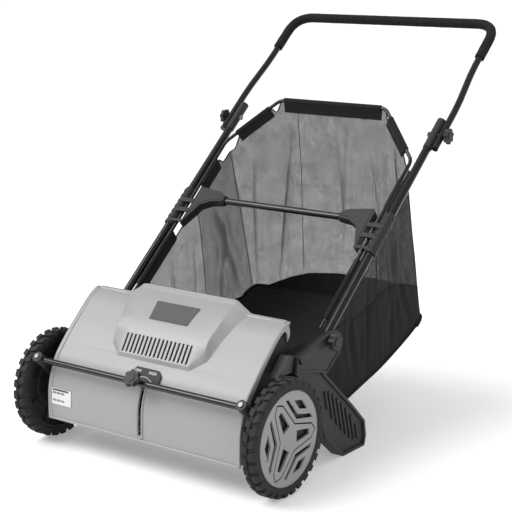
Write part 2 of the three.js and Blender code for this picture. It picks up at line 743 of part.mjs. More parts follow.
function makeBagFrame() {
  const right = [
    onHandle(bagRod.x, bagRod.start),
    new THREE.Vector3(bag.midX - 3, bag.midY, bag.midZ),
    new THREE.Vector3(bag.topHalf, bag.topY, bag.topZ),
  ];
  const left = right.map((p) => new THREE.Vector3(-p.x, p.y, p.z)).reverse();
  add("bag_frame", tube(roundedRoute([...right, ...left], bagRod.bend, 4), bagRod.radius, 0, 10), "blackPaint");
}

// The bag's side in [y, z]: the hem line at the top, the rear edge, the sagging bottom edge.
const bagFloorLine = [[168, 60], [240, 78], [328, 106], [400, 126], [480, 148], [592, 190], [668, 226]];
const bagRear = { y: 672, z: 228, bow: 14 };

function makeBagSides() {
  const hemStart = onHandle(0, 16, -3);
  const outline = [
    ...bagFloorLine.slice(0, -1).map(([y, z]) => [y, z]),
    [662, 224],
    [563, 604],
    [hemStart.y, hemStart.z],
    [205, 290],
    [176, 200],
  ];
  const [innerX, outerX] = [bag.sideX - bag.thickness / 2, bag.sideX + bag.thickness / 2];
  addPair("bag_side", prism(outline, innerX, outerX), "mesh");
}

function makeBagFloor() {
  const under = bagFloorLine.map(([y, z]) => [y, z - bag.thickness]).reverse();
  const half = bag.sideX - bag.thickness / 2 - 0.6;
  add("bag_floor", prism([...bagFloorLine, ...under], -half, half), "fabric");
}

// The back is ruled between the frame's upper outline and a bottom edge that bows out a little.
function makeBagBack() {
  const topLine = [
    [-(bag.midX - 12), bag.midY + 1, bag.midZ - 8],
    [-(bag.topHalf + 8), bag.topY - 8, bag.topZ - 20],
    [-(bag.topHalf - 12), bag.topY, bag.topZ - 10],
    [bag.topHalf - 12, bag.topY, bag.topZ - 10],
    [bag.topHalf + 8, bag.topY - 8, bag.topZ - 20],
    [bag.midX - 12, bag.midY + 1, bag.midZ - 8],
  ];
  const half = bag.sideX - 3;
  const loops = topLine.map(([x, y, z]) => {
    const share = x / (bag.midX - 12);
    const bottomX = half * share;
    const bottomY = bagRear.y + bagRear.bow * (1 - share * share);
    return [
      new THREE.Vector3(bottomX, bottomY, bagRear.z),
      new THREE.Vector3(bottomX, bottomY + bag.thickness, bagRear.z),
      new THREE.Vector3(x, y + bag.thickness, z),
      new THREE.Vector3(x, y, z),
    ];
  });
  add("bag_back", loft(loops, (p) => new THREE.Vector2(p.y, p.z)), "mesh");
}

// ---- assembly ----

makeHood();
makeVentGrille();
makeBadge();
makeLabel();
makeScalePlate();
makeSidePlates();
makeAxles();
makeLegs();
makeHoodClips();
makeTieBar();
makeLowerTubes();
makeSleeves();
makeClamps();
makeCrossbar();
makeUpperHandle();
makeLegKnobs();
makeFoldKnobs();
makeAdjusterArms();
makeAdjusterRod();
makeWheels();
makeBrush();
makeBagFrame();
makeBagSides();
makeBagFloor();
makeBagBack();

// The part's origin is on the ground, at the middle of the whole sweeper.
const bounds = new THREE.Box3().setFromObject(model);
model.position.y = -(bounds.min.y + bounds.max.y) / 2;

export default sweeper;
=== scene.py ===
import math
import random

import bmesh
import bpy
from mathutils import Matrix, Vector


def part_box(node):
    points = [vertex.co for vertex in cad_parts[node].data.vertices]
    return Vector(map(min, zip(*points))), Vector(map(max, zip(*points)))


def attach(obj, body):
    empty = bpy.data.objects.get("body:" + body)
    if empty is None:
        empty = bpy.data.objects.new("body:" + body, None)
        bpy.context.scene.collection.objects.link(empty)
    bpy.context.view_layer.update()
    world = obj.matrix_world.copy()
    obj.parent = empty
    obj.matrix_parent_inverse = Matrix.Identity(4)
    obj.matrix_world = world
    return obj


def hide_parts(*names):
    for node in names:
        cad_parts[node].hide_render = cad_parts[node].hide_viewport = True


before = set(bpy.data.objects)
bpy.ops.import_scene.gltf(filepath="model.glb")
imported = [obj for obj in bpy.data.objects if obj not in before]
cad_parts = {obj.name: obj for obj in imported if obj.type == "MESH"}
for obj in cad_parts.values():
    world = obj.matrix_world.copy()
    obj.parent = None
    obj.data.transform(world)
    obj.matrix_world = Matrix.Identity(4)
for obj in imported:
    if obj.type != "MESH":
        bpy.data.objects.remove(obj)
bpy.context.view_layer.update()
print("frame: loaded", len(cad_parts), "nodes")

# Places are in millimetres from the ground point under the wheel axle, and metres once placed.
mm = 0.001
tyreLow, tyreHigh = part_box("tyre_right")
axleY = (tyreLow.y + tyreHigh.y) / 2
axleHeight = 125

handlePlane = {"tilt": math.radians(40.7), "baseY": 213, "baseZ": 302}


def at(x, y, z):
    return Vector((x * mm, axleY + y * mm, z * mm))


def onHandle(x, distance, height=0):
    c, s = math.cos(handlePlane["tilt"]), math.sin(handlePlane["tilt"])
    return at(
        x,
        handlePlane["baseY"] + distance * c - height * s,
        handlePlane["baseZ"] + distance * s + height * c,
    )


def sideWord(side):
    return "right" if side > 0 else "left"


def smoothStep(t):
    t = min(max(t, 0.0), 1.0)
    return t * t * (3 - 2 * t)


cameraPlan = {
    "place": (1.8835, -2.2070, 1.1032),
    "azimuth": math.radians(36.52),
    "elevation": math.radians(12.51),
    "lens": 98.7,
}


def makeCamera():
    a, e = cameraPlan["azimuth"], cameraPlan["elevation"]
    back = Vector((math.sin(a) * math.cos(e), -math.cos(a) * math.cos(e), math.sin(e)))
    right = Vector((math.cos(a), math.sin(a), 0))
    up = back.cross(right)
    x, y, z = cameraPlan["place"]
    camera = bpy.data.objects.new("camera", bpy.data.cameras.new("camera"))
    camera.data.lens = cameraPlan["lens"]
    camera.data.sensor_width = 36
    turn = Matrix((right, up, back)).transposed().to_4x4()
    camera.matrix_world = Matrix.Translation(Vector((x, y + axleY, z))) @ turn
    bpy.context.collection.objects.link(camera)
    bpy.context.scene.camera = camera


lightPlan = {
    "sunFrom": (-0.55, -0.6, 1.0),
    "sunStrength": 2.1,
    "sunSpread": 0.7,
    "lamps": {
        "key": {"place": (-1.9, -2.4, 2.2), "size": 1.2, "power": 26},
        "fill": {"place": (2.9, -1.2, 1.5), "size": 1.4, "power": 16},
        "back": {"place": (0.6, 2.8, 2.4), "size": 1.6, "power": 24},
    },
    "worldStrength": 0.5,
}


def makeLights():
    sunData = bpy.data.lights.new("sun_light", "SUN")
    sunData.energy = lightPlan["sunStrength"]
    sunData.angle = lightPlan["sunSpread"]
    sun = bpy.data.objects.new("sun_light", sunData)
    sun.rotation_euler = Vector(lightPlan["sunFrom"]).to_track_quat("Z", "Y").to_euler()
    bpy.context.collection.objects.link(sun)
    for name, plan in lightPlan["lamps"].items():
        data = bpy.data.lights.new(name + "_light", "AREA")
        data.size = plan["size"]
        data.energy = plan["power"]
        lamp = bpy.data.objects.new(name + "_light", data)
        lamp.location = plan["place"]
        aim = Vector((0, 0, 0.35)) - lamp.location
        lamp.rotation_euler = aim.to_track_quat("-Z", "Y").to_euler()
        bpy.context.collection.objects.link(lamp)
    world = bpy.data.worlds.new("studio")
    bpy.context.scene.world = world
    world.use_nodes = True
    tree = world.node_tree
    glow = tree.nodes["Background"]
    glow.inputs["Color"].default_value = (1, 1, 1, 1)
    glow.inputs["Strength"].default_value = lightPlan["worldStrength"]


floorPlan = {"reach": 90, "color": (0.8, 0.8, 0.8, 1), "rough": 0.9, "gloss": 0.1, "glow": 0.27}


def makeFloor():
    mesh = bpy.data.meshes.new("floor")
    reach = floorPlan["reach"]
    mesh.from_pydata(
        [(-reach, -reach, 0), (reach, -reach, 0), (reach, reach, 0), (-reach, reach, 0)],
        [],
        [(0, 1, 2, 3)],
    )
    floor = bpy.data.objects.new("floor", mesh)
    bpy.context.collection.objects.link(floor)
    material = bpy.data.materials.new("studio_floor")
    material.use_nodes = True
    shader = material.node_tree.nodes["Principled BSDF"]
    shader.inputs["Base Color"].default_value = floorPlan["color"]
    shader.inputs["Roughness"].default_value = floorPlan["rough"]
    shader.inputs["Specular IOR Level"].default_value = floorPlan["gloss"]
    shader.inputs["Emission Color"].default_value = (1, 1, 1, 1)
    shader.inputs["Emission Strength"].default_value = floorPlan["glow"]
    mesh.materials.append(material)


makeCamera()
makeLights()
makeFloor()
bpy.context.scene.view_settings.view_transform = "Standard"
print("studio: camera, lights and floor")


def shade(level, warm=0.0):
    # A grey from 0 to 255 as the screen shows it, in the linear light that the shader wants.
    def linear(c):
        c = min(max(c, 0), 255) / 255
        return c / 12.92 if c <= 0.04045 else ((c + 0.055) / 1.055) ** 2.4

    return (linear(level + warm), linear(level), linear(level - warm), 1)


def addNode(tree, kind, values=None, **settings):
    node = tree.nodes.new(kind)
    for key, value in settings.items():
        setattr(node, key, value)
    for key, value in (values or {}).items():
        node.inputs[key].default_value = value
    return node


def newGroup(name, inputs, outputs):
    group = bpy.data.node_groups.new(name, "ShaderNodeTree")
    for label, kind, value in inputs:
        socket = group.interface.new_socket(label, in_out="INPUT", socket_type=kind)
        socket.default_value = value
    for label, kind in outputs:
        group.interface.new_socket(label, in_out="OUTPUT", socket_type=kind)
    return group, group.nodes.new("NodeGroupInput"), group.nodes.new("NodeGroupOutput")


number, colour = "NodeSocketFloat", "NodeSocketColor"


def makeGrainGroup():
    group, inlet, outlet = newGroup(
        "Moulded grain",
        [
            ("Color", colour, (0.5, 0.5, 0.5, 1)),
            ("Blotch", number, 0.1),
            ("Blotch Scale", number, 9),
            ("Grain Scale", number, 900),
            ("Roughness", number, 0.5),
            ("Roughness Spread", number, 0.12),
        ],
        [("Color", colour), ("Roughness", number), ("Height", number)],
    )
    link = group.links.new
    place = addNode(group, "ShaderNodeTexCoord")
    broad = addNode(group, "ShaderNodeTexNoise", {"Detail": 5, "Roughness": 0.6})
    link(place.outputs["Object"], broad.inputs["Vector"])
    link(inlet.outputs["Blotch Scale"], broad.inputs["Scale"])
    fine = addNode(group, "ShaderNodeTexNoise", {"Detail": 2, "Roughness": 0.7})
    link(place.outputs["Object"], fine.inputs["Vector"])
    link(inlet.outputs["Grain Scale"], fine.inputs["Scale"])
    centred = addNode(group, "ShaderNodeMath", {1: 0.5}, operation="SUBTRACT")
    link(broad.outputs["Fac"], centred.inputs[0])
    swing = addNode(group, "ShaderNodeMath", operation="MULTIPLY")
    link(centred.outputs[0], swing.inputs[0])
    link(inlet.outputs["Blotch"], swing.inputs[1])
    gain = addNode(group, "ShaderNodeMath", {1: 1.0}, operation="ADD")
    link(swing.outputs[0], gain.inputs[0])
    tint = addNode(group, "ShaderNodeVectorMath", operation="SCALE")
    link(inlet.outputs["Color"], tint.inputs[0])
    link(gain.outputs[0], tint.inputs["Scale"])
    link(tint.outputs[0], outlet.inputs["Color"])
    spread = addNode(group, "ShaderNodeMath", operation="MULTIPLY_ADD")
    link(centred.outputs[0], spread.inputs[0])
    link(inlet.outputs["Roughness Spread"], spread.inputs[1])
    link(inlet.outputs["Roughness"], spread.inputs[2])
    link(spread.outputs[0], outlet.inputs["Roughness"])
    link(fine.outputs["Fac"], outlet.inputs["Height"])
    return group


def makeWearGroup():
    group, inlet, outlet = newGroup(
        "Edge wear",
        [
            ("Color", colour, (0.5, 0.5, 0.5, 1)),
            ("Worn Color", colour, (0.7, 0.7, 0.7, 1)),
            ("Width", number, 0.0015),
            ("Amount", number, 0.4),
        ],
        [("Color", colour)],
    )
    link = group.links.new
    rounded = addNode(group, "ShaderNodeBevel", samples=4)
    link(inlet.outputs["Width"], rounded.inputs["Radius"])
    surface = addNode(group, "ShaderNodeNewGeometry")
    meet = addNode(group, "ShaderNodeVectorMath", operation="DOT_PRODUCT")
    link(rounded.outputs[0], meet.inputs[0])
    link(surface.outputs["Normal"], meet.inputs[1])
    edge = addNode(
        group, "ShaderNodeMapRange", {"From Min": 0.995, "From Max": 0.82, "To Min": 0, "To Max": 1}
    )
    link(meet.outputs["Value"], edge.inputs["Value"])
    place = addNode(group, "ShaderNodeTexCoord")
    patch = addNode(group, "ShaderNodeTexNoise", {"Scale": 60, "Detail": 4, "Roughness": 0.65})
    link(place.outputs["Object"], patch.inputs["Vector"])
    broken = addNode(
        group, "ShaderNodeMapRange", {"From Min": 0.35, "From Max": 0.62, "To Min": 0.15, "To Max": 1}
    )
    link(patch.outputs["Fac"], broken.inputs["Value"])
    both = addNode(group, "ShaderNodeMath", operation="MULTIPLY")
    link(edge.outputs[0], both.inputs[0])
    link(broken.outputs[0], both.inputs[1])
    mask = addNode(group, "ShaderNodeMath", operation="MULTIPLY", use_clamp=True)
    link(both.outputs[0], mask.inputs[0])
    link(inlet.outputs["Amount"], mask.inputs[1])
    blend = addNode(group, "ShaderNodeMix", data_type="RGBA")
    link(mask.outputs[0], blend.inputs["Factor"])
    link(inlet.outputs["Color"], blend.inputs["A"])
    link(inlet.outputs["Worn Color"], blend.inputs["B"])
    link(blend.outputs["Result"], outlet.inputs["Color"])
    return group


def makeDustGroup():
    group, inlet, outlet = newGroup(
        "Settled dust",
        [
            ("Color", colour, (0.5, 0.5, 0.5, 1)),
            ("Dust Color", colour, (0.6, 0.6, 0.6, 1)),
            ("Roughness", number, 0.5),
            ("Amount", number, 0.1),
        ],
        [("Color", colour), ("Roughness", number)],
    )
    link = group.links.new
    surface = addNode(group, "ShaderNodeNewGeometry")
    parts = addNode(group, "ShaderNodeSeparateXYZ")
    link(surface.outputs["Normal"], parts.inputs[0])
    upward = addNode(
        group, "ShaderNodeMapRange", {"From Min": -0.2, "From Max": 1, "To Min": 0.2, "To Max": 1}
    )
    link(parts.outputs["Z"], upward.inputs["Value"])
    place = addNode(group, "ShaderNodeTexCoord")
    drift = addNode(group, "ShaderNodeTexNoise", {"Scale": 26, "Detail": 6, "Roughness": 0.7})
    link(place.outputs["Object"], drift.inputs["Vector"])
    settled = addNode(group, "ShaderNodeMath", operation="MULTIPLY")
    link(upward.outputs[0], settled.inputs[0])
    link(drift.outputs["Fac"], settled.inputs[1])
    mask = addNode(group, "ShaderNodeMath", operation="MULTIPLY", use_clamp=True)
    link(settled.outputs[0], mask.inputs[0])
    link(inlet.outputs["Amount"], mask.inputs[1])
    blend = addNode(group, "ShaderNodeMix", data_type="RGBA")
    link(mask.outputs[0], blend.inputs["Factor"])
    link(inlet.outputs["Color"], blend.inputs["A"])
    link(inlet.outputs["Dust Color"], blend.inputs["B"])
    link(blend.outputs["Result"], outlet.inputs["Color"])
    rougher = addNode(group, "ShaderNodeMath", {1: 0.35}, operation="MULTIPLY_ADD")
    link(mask.outputs[0], rougher.inputs[0])
    link(inlet.outputs["Roughness"], rougher.inputs[2])
    link(rougher.outputs[0], outlet.inputs["Roughness"])
    return group


def makeWeaveGroup():
    group, inlet, outlet = newGroup(
        "Weave",
        [
            ("Threads per metre", number, 500),
            ("Hole", number, 0.7),
            ("Thread Cover", number, 0.95),
            ("Hole Cover", number, 0.1),
        ],
        [("Cover", number), ("Height", number)],
    )
    link = group.links.new
    place = addNode(group, "ShaderNodeTexCoord")
    parts = addNode(group, "ShaderNodeSeparateXYZ")
    link(place.outputs["UV"], parts.inputs[0])
    waves = []
    for axis in ("X", "Y"):
        turns = addNode(group, "ShaderNodeMath", operation="MULTIPLY")
        link(parts.outputs[axis], turns.inputs[0])
        link(inlet.outputs["Threads per metre"], turns.inputs[1])
        angle = addNode(group, "ShaderNodeMath", {1: math.pi}, operation="MULTIPLY")
        link(turns.outputs[0], angle.inputs[0])
        sine = addNode(group, "ShaderNodeMath", operation="SINE")
        link(angle.outputs[0], sine.inputs[0])
        size = addNode(group, "ShaderNodeMath", operation="ABSOLUTE")
        link(sine.outputs[0], size.inputs[0])
        waves.append(size)
    thread = addNode(group, "ShaderNodeMath", operation="MAXIMUM")
    link(waves[0].outputs[0], thread.inputs[0])
    link(waves[1].outputs[0], thread.inputs[1])
    link(thread.outputs[0], outlet.inputs["Height"])
    solid = addNode(group, "ShaderNodeMath", operation="GREATER_THAN")
    link(thread.outputs[0], solid.inputs[0])
    link(inlet.outputs["Hole"], solid.inputs[1])
    cover = addNode(group, "ShaderNodeMix", data_type="FLOAT")
    link(solid.outputs[0], cover.inputs["Factor"])
    link(inlet.outputs["Hole Cover"], cover.inputs["A"])
    link(inlet.outputs["Thread Cover"], cover.inputs["B"])
    link(cover.outputs["Result"], outlet.inputs["Cover"])
    return group


grainGroup = makeGrainGroup()
wearGroup = makeWearGroup()
dustGroup = makeDustGroup()
weaveGroup = makeWeaveGroup()

finishes = {
    "hoodPlastic": {"color": shade(149, -1), "rough": 0.42, "blotch": 0.06, "grain": 1400, "bump": 0.02,
                    "worn": shade(178), "wear": 0.35, "dust": 0.05, "coat": 0.12, "gloss": 0.45},
    "capPlastic": {"color": shade(136), "rough": 0.45, "blotch": 0.07, "grain": 1200, "bump": 0.02,
                   "worn": shade(160), "wear": 0.4, "dust": 0.06, "coat": 0.05, "gloss": 0.4},
    "badgePlastic": {"color": shade(66), "rough": 0.4, "blotch": 0.08, "grain": 1500, "bump": 0.02,
                     "worn": shade(110), "wear": 0.4, "dust": 0.05, "coat": 0.1, "gloss": 0.4},
    "labelFilm": {"color": shade(214), "rough": 0.5, "blotch": 0.03, "grain": 600, "bump": 0.01,
                  "worn": shade(240), "wear": 0.1, "dust": 0.03, "coat": 0.2, "gloss": 0.4},
    "printGrey": {"color": shade(80), "rough": 0.5, "blotch": 0.1, "grain": 900, "bump": 0.01,
                  "worn": shade(140), "wear": 0.2, "dust": 0.03, "coat": 0.1, "gloss": 0.3},
    "printWhite": {"color": shade(215), "rough": 0.5, "blotch": 0.05, "grain": 900, "bump": 0.01,
                   "worn": shade(235), "wear": 0.1, "dust": 0.03, "coat": 0.1, "gloss": 0.3},
    "blackPlastic": {"color": shade(37), "rough": 0.5, "blotch": 0.18, "grain": 1100, "bump": 0.05,
                     "worn": shade(74), "wear": 0.35, "dust": 0.05, "coat": 0, "gloss": 0.3},
    "clipPlastic": {"color": shade(66), "rough": 0.5, "blotch": 0.12, "grain": 1100, "bump": 0.04,
                    "worn": shade(104), "wear": 0.35, "dust": 0.05, "coat": 0, "gloss": 0.3},
    "blackPaint": {"color": shade(18), "rough": 0.2, "blotch": 0.2, "grain": 500, "bump": 0.012,
                   "worn": shade(60), "wear": 0.1, "dust": 0.02, "coat": 0.22, "gloss": 0.3},
    "steel": {"color": shade(118), "rough": 0.42, "blotch": 0.12, "grain": 700, "bump": 0.02,
              "worn": shade(220), "wear": 0.4, "dust": 0.04, "coat": 0, "metal": 1, "gloss": 0.5},
    "tyreRubber": {"color": shade(34), "rough": 0.72, "blotch": 0.25, "grain": 800, "bump": 0.12,
                   "worn": shade(66), "wear": 0.45, "dust": 0.09, "coat": 0, "gloss": 0.25},
    "gripFoam": {"color": shade(24), "rough": 0.9, "blotch": 0.2, "grain": 420, "bump": 0.5,
                 "worn": shade(44), "wear": 0.2, "dust": 0.05, "coat": 0, "gloss": 0.15},
    "bristles": {"color": shade(26), "rough": 0.6, "blotch": 0.3, "grain": 900, "bump": 0.1,
                 "worn": shade(60), "wear": 0.1, "dust": 0.08, "coat": 0, "gloss": 0.2},
    # painted shade: the near-black finish of the sheet behind the vent slots, standing in for the dark
    # inside of the hood
    "paintedShadeInside": {"color": shade(14), "rough": 0.7, "blotch": 0.2, "grain": 900, "bump": 0.05,
                   "worn": shade(30), "wear": 0.1, "dust": 0.03, "coat": 0, "gloss": 0.15},
}


def makeFinish(name):
    plan = finishes[name]
    material = bpy.data.materials.new(name)
    material.use_nodes = True
    tree = material.node_tree
    link = tree.links.new
    shader = tree.nodes["Principled BSDF"]
    shader.inputs["Metallic"].default_value = plan.get("metal", 0)
    shader.inputs["Coat Weight"].default_value = plan["coat"]
    shader.inputs["Coat Roughness"].default_value = 0.12
    shader.inputs["Specular IOR Level"].default_value = plan["gloss"]
    grain = addNode(tree, "ShaderNodeGroup", node_tree=grainGroup)
    grain.inputs["Color"].default_value = plan["color"]
    grain.inputs["Blotch"].default_value = plan["blotch"]
    grain.inputs["Grain Scale"].default_value = plan["grain"]
    grain.inputs["Roughness"].default_value = plan["rough"]
    wear = addNode(tree, "ShaderNodeGroup", node_tree=wearGroup)
    wear.inputs["Worn Color"].default_value = plan["worn"]
    wear.inputs["Amount"].default_value = plan["wear"]
    dust = addNode(tree, "ShaderNodeGroup", node_tree=dustGroup)
    dust.inputs["Dust Color"].default_value = shade(168, 3)
    dust.inputs["Amount"].default_value = plan["dust"]
    link(grain.outputs["Color"], wear.inputs["Color"])
    link(wear.outputs["Color"], dust.inputs["Color"])
    link(grain.outputs["Roughness"], dust.inputs["Roughness"])
    link(dust.outputs["Color"], shader.inputs["Base Color"])
    link(dust.outputs["Roughness"], shader.inputs["Roughness"])
    bump = addNode(tree, "ShaderNodeBump", {"Strength": plan["bump"], "Distance": 0.001})
    link(grain.outputs["Height"], bump.inputs["Height"])
    link(bump.outputs["Normal"], shader.inputs["Normal"])
    return material


looks = {name: makeFinish(name) for name in finishes}

clothPlan = {
    "bagCloth": {"color": shade(27), "rough": 0.85, "threads": 620, "bump": 0.25, "sheen": 0.04,
                 "hole": 0.0, "thread": 1.0, "gap": 1.0, "blotch": 0.3, "dust": 0.03},
    "bagNet": {"color": shade(40), "rough": 0.9, "threads": 520, "bump": 0.2, "sheen": 0.02,
               "hole": 0.63, "thread": 0.95, "gap": 0.12, "blotch": 0.5, "dust": 0.06},
}


def makeClothFinish(name):
    plan = clothPlan[name]
    material = bpy.data.materials.new(name)
    material.use_nodes = True
    tree = material.node_tree
    link = tree.links.new
    shader = tree.nodes["Principled BSDF"]
    shader.inputs["Sheen Weight"].default_value = plan["sheen"]
    shader.inputs["Specular IOR Level"].default_value = 0.15
    grain = addNode(tree, "ShaderNodeGroup", node_tree=grainGroup)
    grain.inputs["Color"].default_value = plan["color"]
    grain.inputs["Blotch"].default_value = plan["blotch"]
    grain.inputs["Blotch Scale"].default_value = 16
    grain.inputs["Roughness"].default_value = plan["rough"]
    dust = addNode(tree, "ShaderNodeGroup", node_tree=dustGroup)
    dust.inputs["Dust Color"].default_value = shade(150, 3)
    dust.inputs["Amount"].default_value = plan["dust"]
    weave = addNode(tree, "ShaderNodeGroup", node_tree=weaveGroup)
    weave.inputs["Threads per metre"].default_value = plan["threads"]
    weave.inputs["Hole"].default_value = plan["hole"]
    weave.inputs["Thread Cover"].default_value = plan["thread"]
    weave.inputs["Hole Cover"].default_value = plan["gap"]
    link(grain.outputs["Color"], dust.inputs["Color"])
    link(grain.outputs["Roughness"], dust.inputs["Roughness"])
    link(dust.outputs["Color"], shader.inputs["Base Color"])
    link(dust.outputs["Roughness"], shader.inputs["Roughness"])
    bump = addNode(tree, "ShaderNodeBump", {"Strength": plan["bump"], "Distance": 0.0006})
    link(weave.outputs["Height"], bump.inputs["Height"])
    link(bump.outputs["Normal"], shader.inputs["Normal"])
    if plan["gap"] < 1:
        place = addNode(tree, "ShaderNodeTexCoord")
        patch = addNode(tree, "ShaderNodeTexNoise", {"Scale": 22, "Detail": 8, "Roughness": 0.72})
        link(place.outputs["Object"], patch.inputs["Vector"])
        gap = addNode(tree, "ShaderNodeMapRange",
                      {"From Min": 0.36, "From Max": 0.62, "To Min": plan["gap"] * 3, "To Max": 0})
        link(patch.outputs["Fac"], gap.inputs["Value"])
        link(gap.outputs[0], weave.inputs["Hole Cover"])
        folds = addNode(tree, "ShaderNodeAttribute", attribute_name="fold")
        dense = addNode(tree, "ShaderNodeMix", {"B": 0.97}, data_type="FLOAT")
        link(folds.outputs["Fac"], dense.inputs["Factor"])
        link(weave.outputs["Cover"], dense.inputs["A"])
        link(dense.outputs["Result"], shader.inputs["Alpha"])
    return material


looks.update({name: makeClothFinish(name) for name in clothPlan})
print("finishes:", len(looks), "made")


def placePiece(name, mesh, finish, body, sharpAngle=32):
    mesh.validate()
    mesh.update()
    mesh.polygons.foreach_set("use_smooth", [True] * len(mesh.polygons))
    mesh.set_sharp_from_angle(angle=math.radians(sharpAngle))
    mesh.materials.append(looks[finish])
    piece = bpy.data.objects.new(name, mesh)
    bpy.context.collection.objects.link(piece)
    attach(piece, body)
    return piece


def meshFrom(name, points, faces):
    mesh = bpy.data.meshes.new(name)
    mesh.from_pydata([tuple(p) for p in points], [], faces)
    return mesh


def fixNormals(mesh):
    work = bmesh.new()
    work.from_mesh(mesh)
    bmesh.ops.remove_doubles(work, verts=work.verts, dist=1e-6)
    bmesh.ops.recalc_face_normals(work, faces=work.faces)
    work.to_mesh(mesh)
    work.free()
    return mesh


def addBevel(piece, width, segments=2, angle=30):
    bevel = piece.modifiers.new("softened edges", "BEVEL")
    bevel.width = width * mm
    bevel.segments = segments
    bevel.limit_method = "ANGLE"
    bevel.angle_limit = math.radians(angle)
    bevel.harden_normals = True


class Shapes:
    # Several closed bodies gathered into one mesh.
    def __init__(self):
        self.points, self.faces = [], []

    def take(self, points, faces):
        start = len(self.points)
        self.points += [Vector(p) for p in points]
        self.faces += [[start + i for i in face] for face in faces]

    def loft(self, rings, closed=False):
        n = len(rings[0])
        points = [p for ring in rings for p in ring]
        faces = []
        count = len(rings) if closed else len(rings) - 1
        for r in range(count):
            a, b = r * n, ((r + 1) % len(rings)) * n
            faces += [[a + i, a + (i + 1) % n, b + (i + 1) % n, b + i] for i in range(n)]
        if not closed:
            faces += [list(range(n))[::-1], [(len(rings) - 1) * n + i for i in range(n)]]
        self.take(points, faces)

    def tube(self, path, radius, sides=24, closed=False):
        self.loft(tubeRings(path, radius, sides, closed), closed)

    def plate(self, outline, fromX, toX):
        # An outline of (y, z) points in millimetres pulled along x.
        self.loft([[at(x, y, z) for y, z in outline] for x in (fromX, toX)])

    def handlePlate(self, outline, low, high):
        # An outline of (x, distance) points pulled up from the handle's plane.
        self.loft([[onHandle(x, s, h) for x, s in outline] for h in (low, high)])

    def turned(self, profile, centre, axis=Vector((1, 0, 0)), sides=64):
        # A profile of (radius, along) points in millimetres turned about an axis.
        axis = axis.normalized()
        side = axis.cross(Vector((0, 0, 1))) if abs(axis.z) < 0.9 else axis.cross(Vector((1, 0, 0)))
        side.normalize()
        up = axis.cross(side)
        rings = []
        for i in range(sides):
            a = 2 * math.pi * i / sides
            spoke = side * math.cos(a) + up * math.sin(a)
            rings.append([centre + axis * (x * mm) + spoke * (max(r, 0.01) * mm) for r, x in profile])
        self.loft(rings, closed=True)

    def mesh(self, name):
        return fixNormals(meshFrom(name, self.points, self.faces))


def tubeRings(path, radius, sides, closed=False):
    path = [Vector(p) for p in path]
    count = len(path)
    rings = []
    side = None
    for i, p in enumerate(path):
        if closed:
            along = (path[(i + 1) % count] - path[i - 1]).normalized()
        else:
            along = (path[min(i + 1, count - 1)] - path[max(i - 1, 0)]).normalized()
        if side is None:
            side = along.cross(Vector((0, 0, 1)))
            if side.length < 0.1:
                side = along.cross(Vector((1, 0, 0)))
        side = (side - along * side.dot(along)).normalized()
        up = along.cross(side)
        r = (radius(i / (count - 1)) if callable(radius) else radius) * mm
        ring = []
        for k in range(sides):
            a = 2 * math.pi * k / sides
            ring.append(p + side * (r * math.cos(a)) + up * (r * math.sin(a)))
        rings.append(ring)
    return rings


def roundedPath(corners, radius, steps=8):
    # The corners with an arc in place of each inner one; radius in millimetres.
    corners = [Vector(p) for p in corners]
    path = [corners[0]]
    for before, corner, after in zip(corners, corners[1:], corners[2:]):
        intoCorner = (corner - before).normalized()
        outOfCorner = (after - corner).normalized()
        turn = intoCorner.angle(outOfCorner)
        reach = min(radius * mm * math.tan(turn / 2), (corner - before).length * 0.48,
                    (after - corner).length * 0.48)
        start, end = corner - intoCorner * reach, corner + outOfCorner * reach
        for k in range(steps + 1):
            t = k / steps
            path.append(start * (1 - t) ** 2 + corner * (2 * t * (1 - t)) + end * t * t)
    path.append(corners[-1])
    return path


def spline(points, steps=6):
    # A smooth run through numbers or vectors, Catmull-Rom.
    out = []
    for i in range(len(points) - 1):
        p0, p1 = points[max(i - 1, 0)], points[i]
        p2, p3 = points[i + 1], points[min(i + 2, len(points) - 1)]
        for k in range(steps):
            t = k / steps
            out.append([
                0.5 * (2 * b + (c - a) * t + (2 * a - 5 * b + 4 * c - d) * t * t
                       + (3 * b - a - 3 * c + d) * t ** 3)
                for a, b, c, d in zip(p0, p1, p2, p3)
            ])
    out.append(list(points[-1]))
    return out


hoodPlan = {
    "halfWidth": 268,
    "wall": 2.8,
    "front": [(-79, 72), (-79, 110), (-77, 143), (-69, 173), (-55, 206), (-41, 225)],
    "top": [(-41, 225), (-3, 266), (40, 306), (59, 323), (80, 336), (94, 339)],
    "lip": (98, 318),
    # y, z and half widths of the raised panel's top and foot
    "panel": [(-33, 243, 97, 100), (-28, 250, 101, 106), (-14, 272.4, 123, 130), (-3, 290, 124, 133),
              (18, 311, 125, 139), (58, 342, 126, 155), (94, 363, 126, 166)],
    "vents": 17,
    "ventHalf": 94,
    "slotHalf": 2.7,
    "ventRows": (-31.3, -8.7),
    "slot": (4.5, 84, 192),
    "crease": 190,
    "inset": 256.5,
    "rim": 258,
    "round": 265.5,
    "curveTop": 0.16,  # share of the way from the panel's top edge to its foot
    "curveFoot": 0.9,
    # (y, z) outline of the painted-shade sheet that closes off the vent slots
    "shadeSheet": [(-24, 235), (-19, 262), (-4, 282), (2, 270), (-10, 240)],
    "flatHalf": (97, 100),  # where the panel's columns run below the panel
    # y of the grid's rows over the top, close together where it bends
    "topRows": [-37, -33.6, -33, -29.5, -28, -24, -19, -14, -3, 4, 11, 18, 28, 38, 48, 58, 66, 74, 82, 85.5,
                86.6, 90, 94],
}


def alongY(stations, y, index):
    for a, b in zip(stations, stations[1:]):
        if y <= b[0]:
            t = (y - a[0]) / (b[0] - a[0])
            return a[index] + (b[index] - a[index]) * t
    return stations[-1][index]


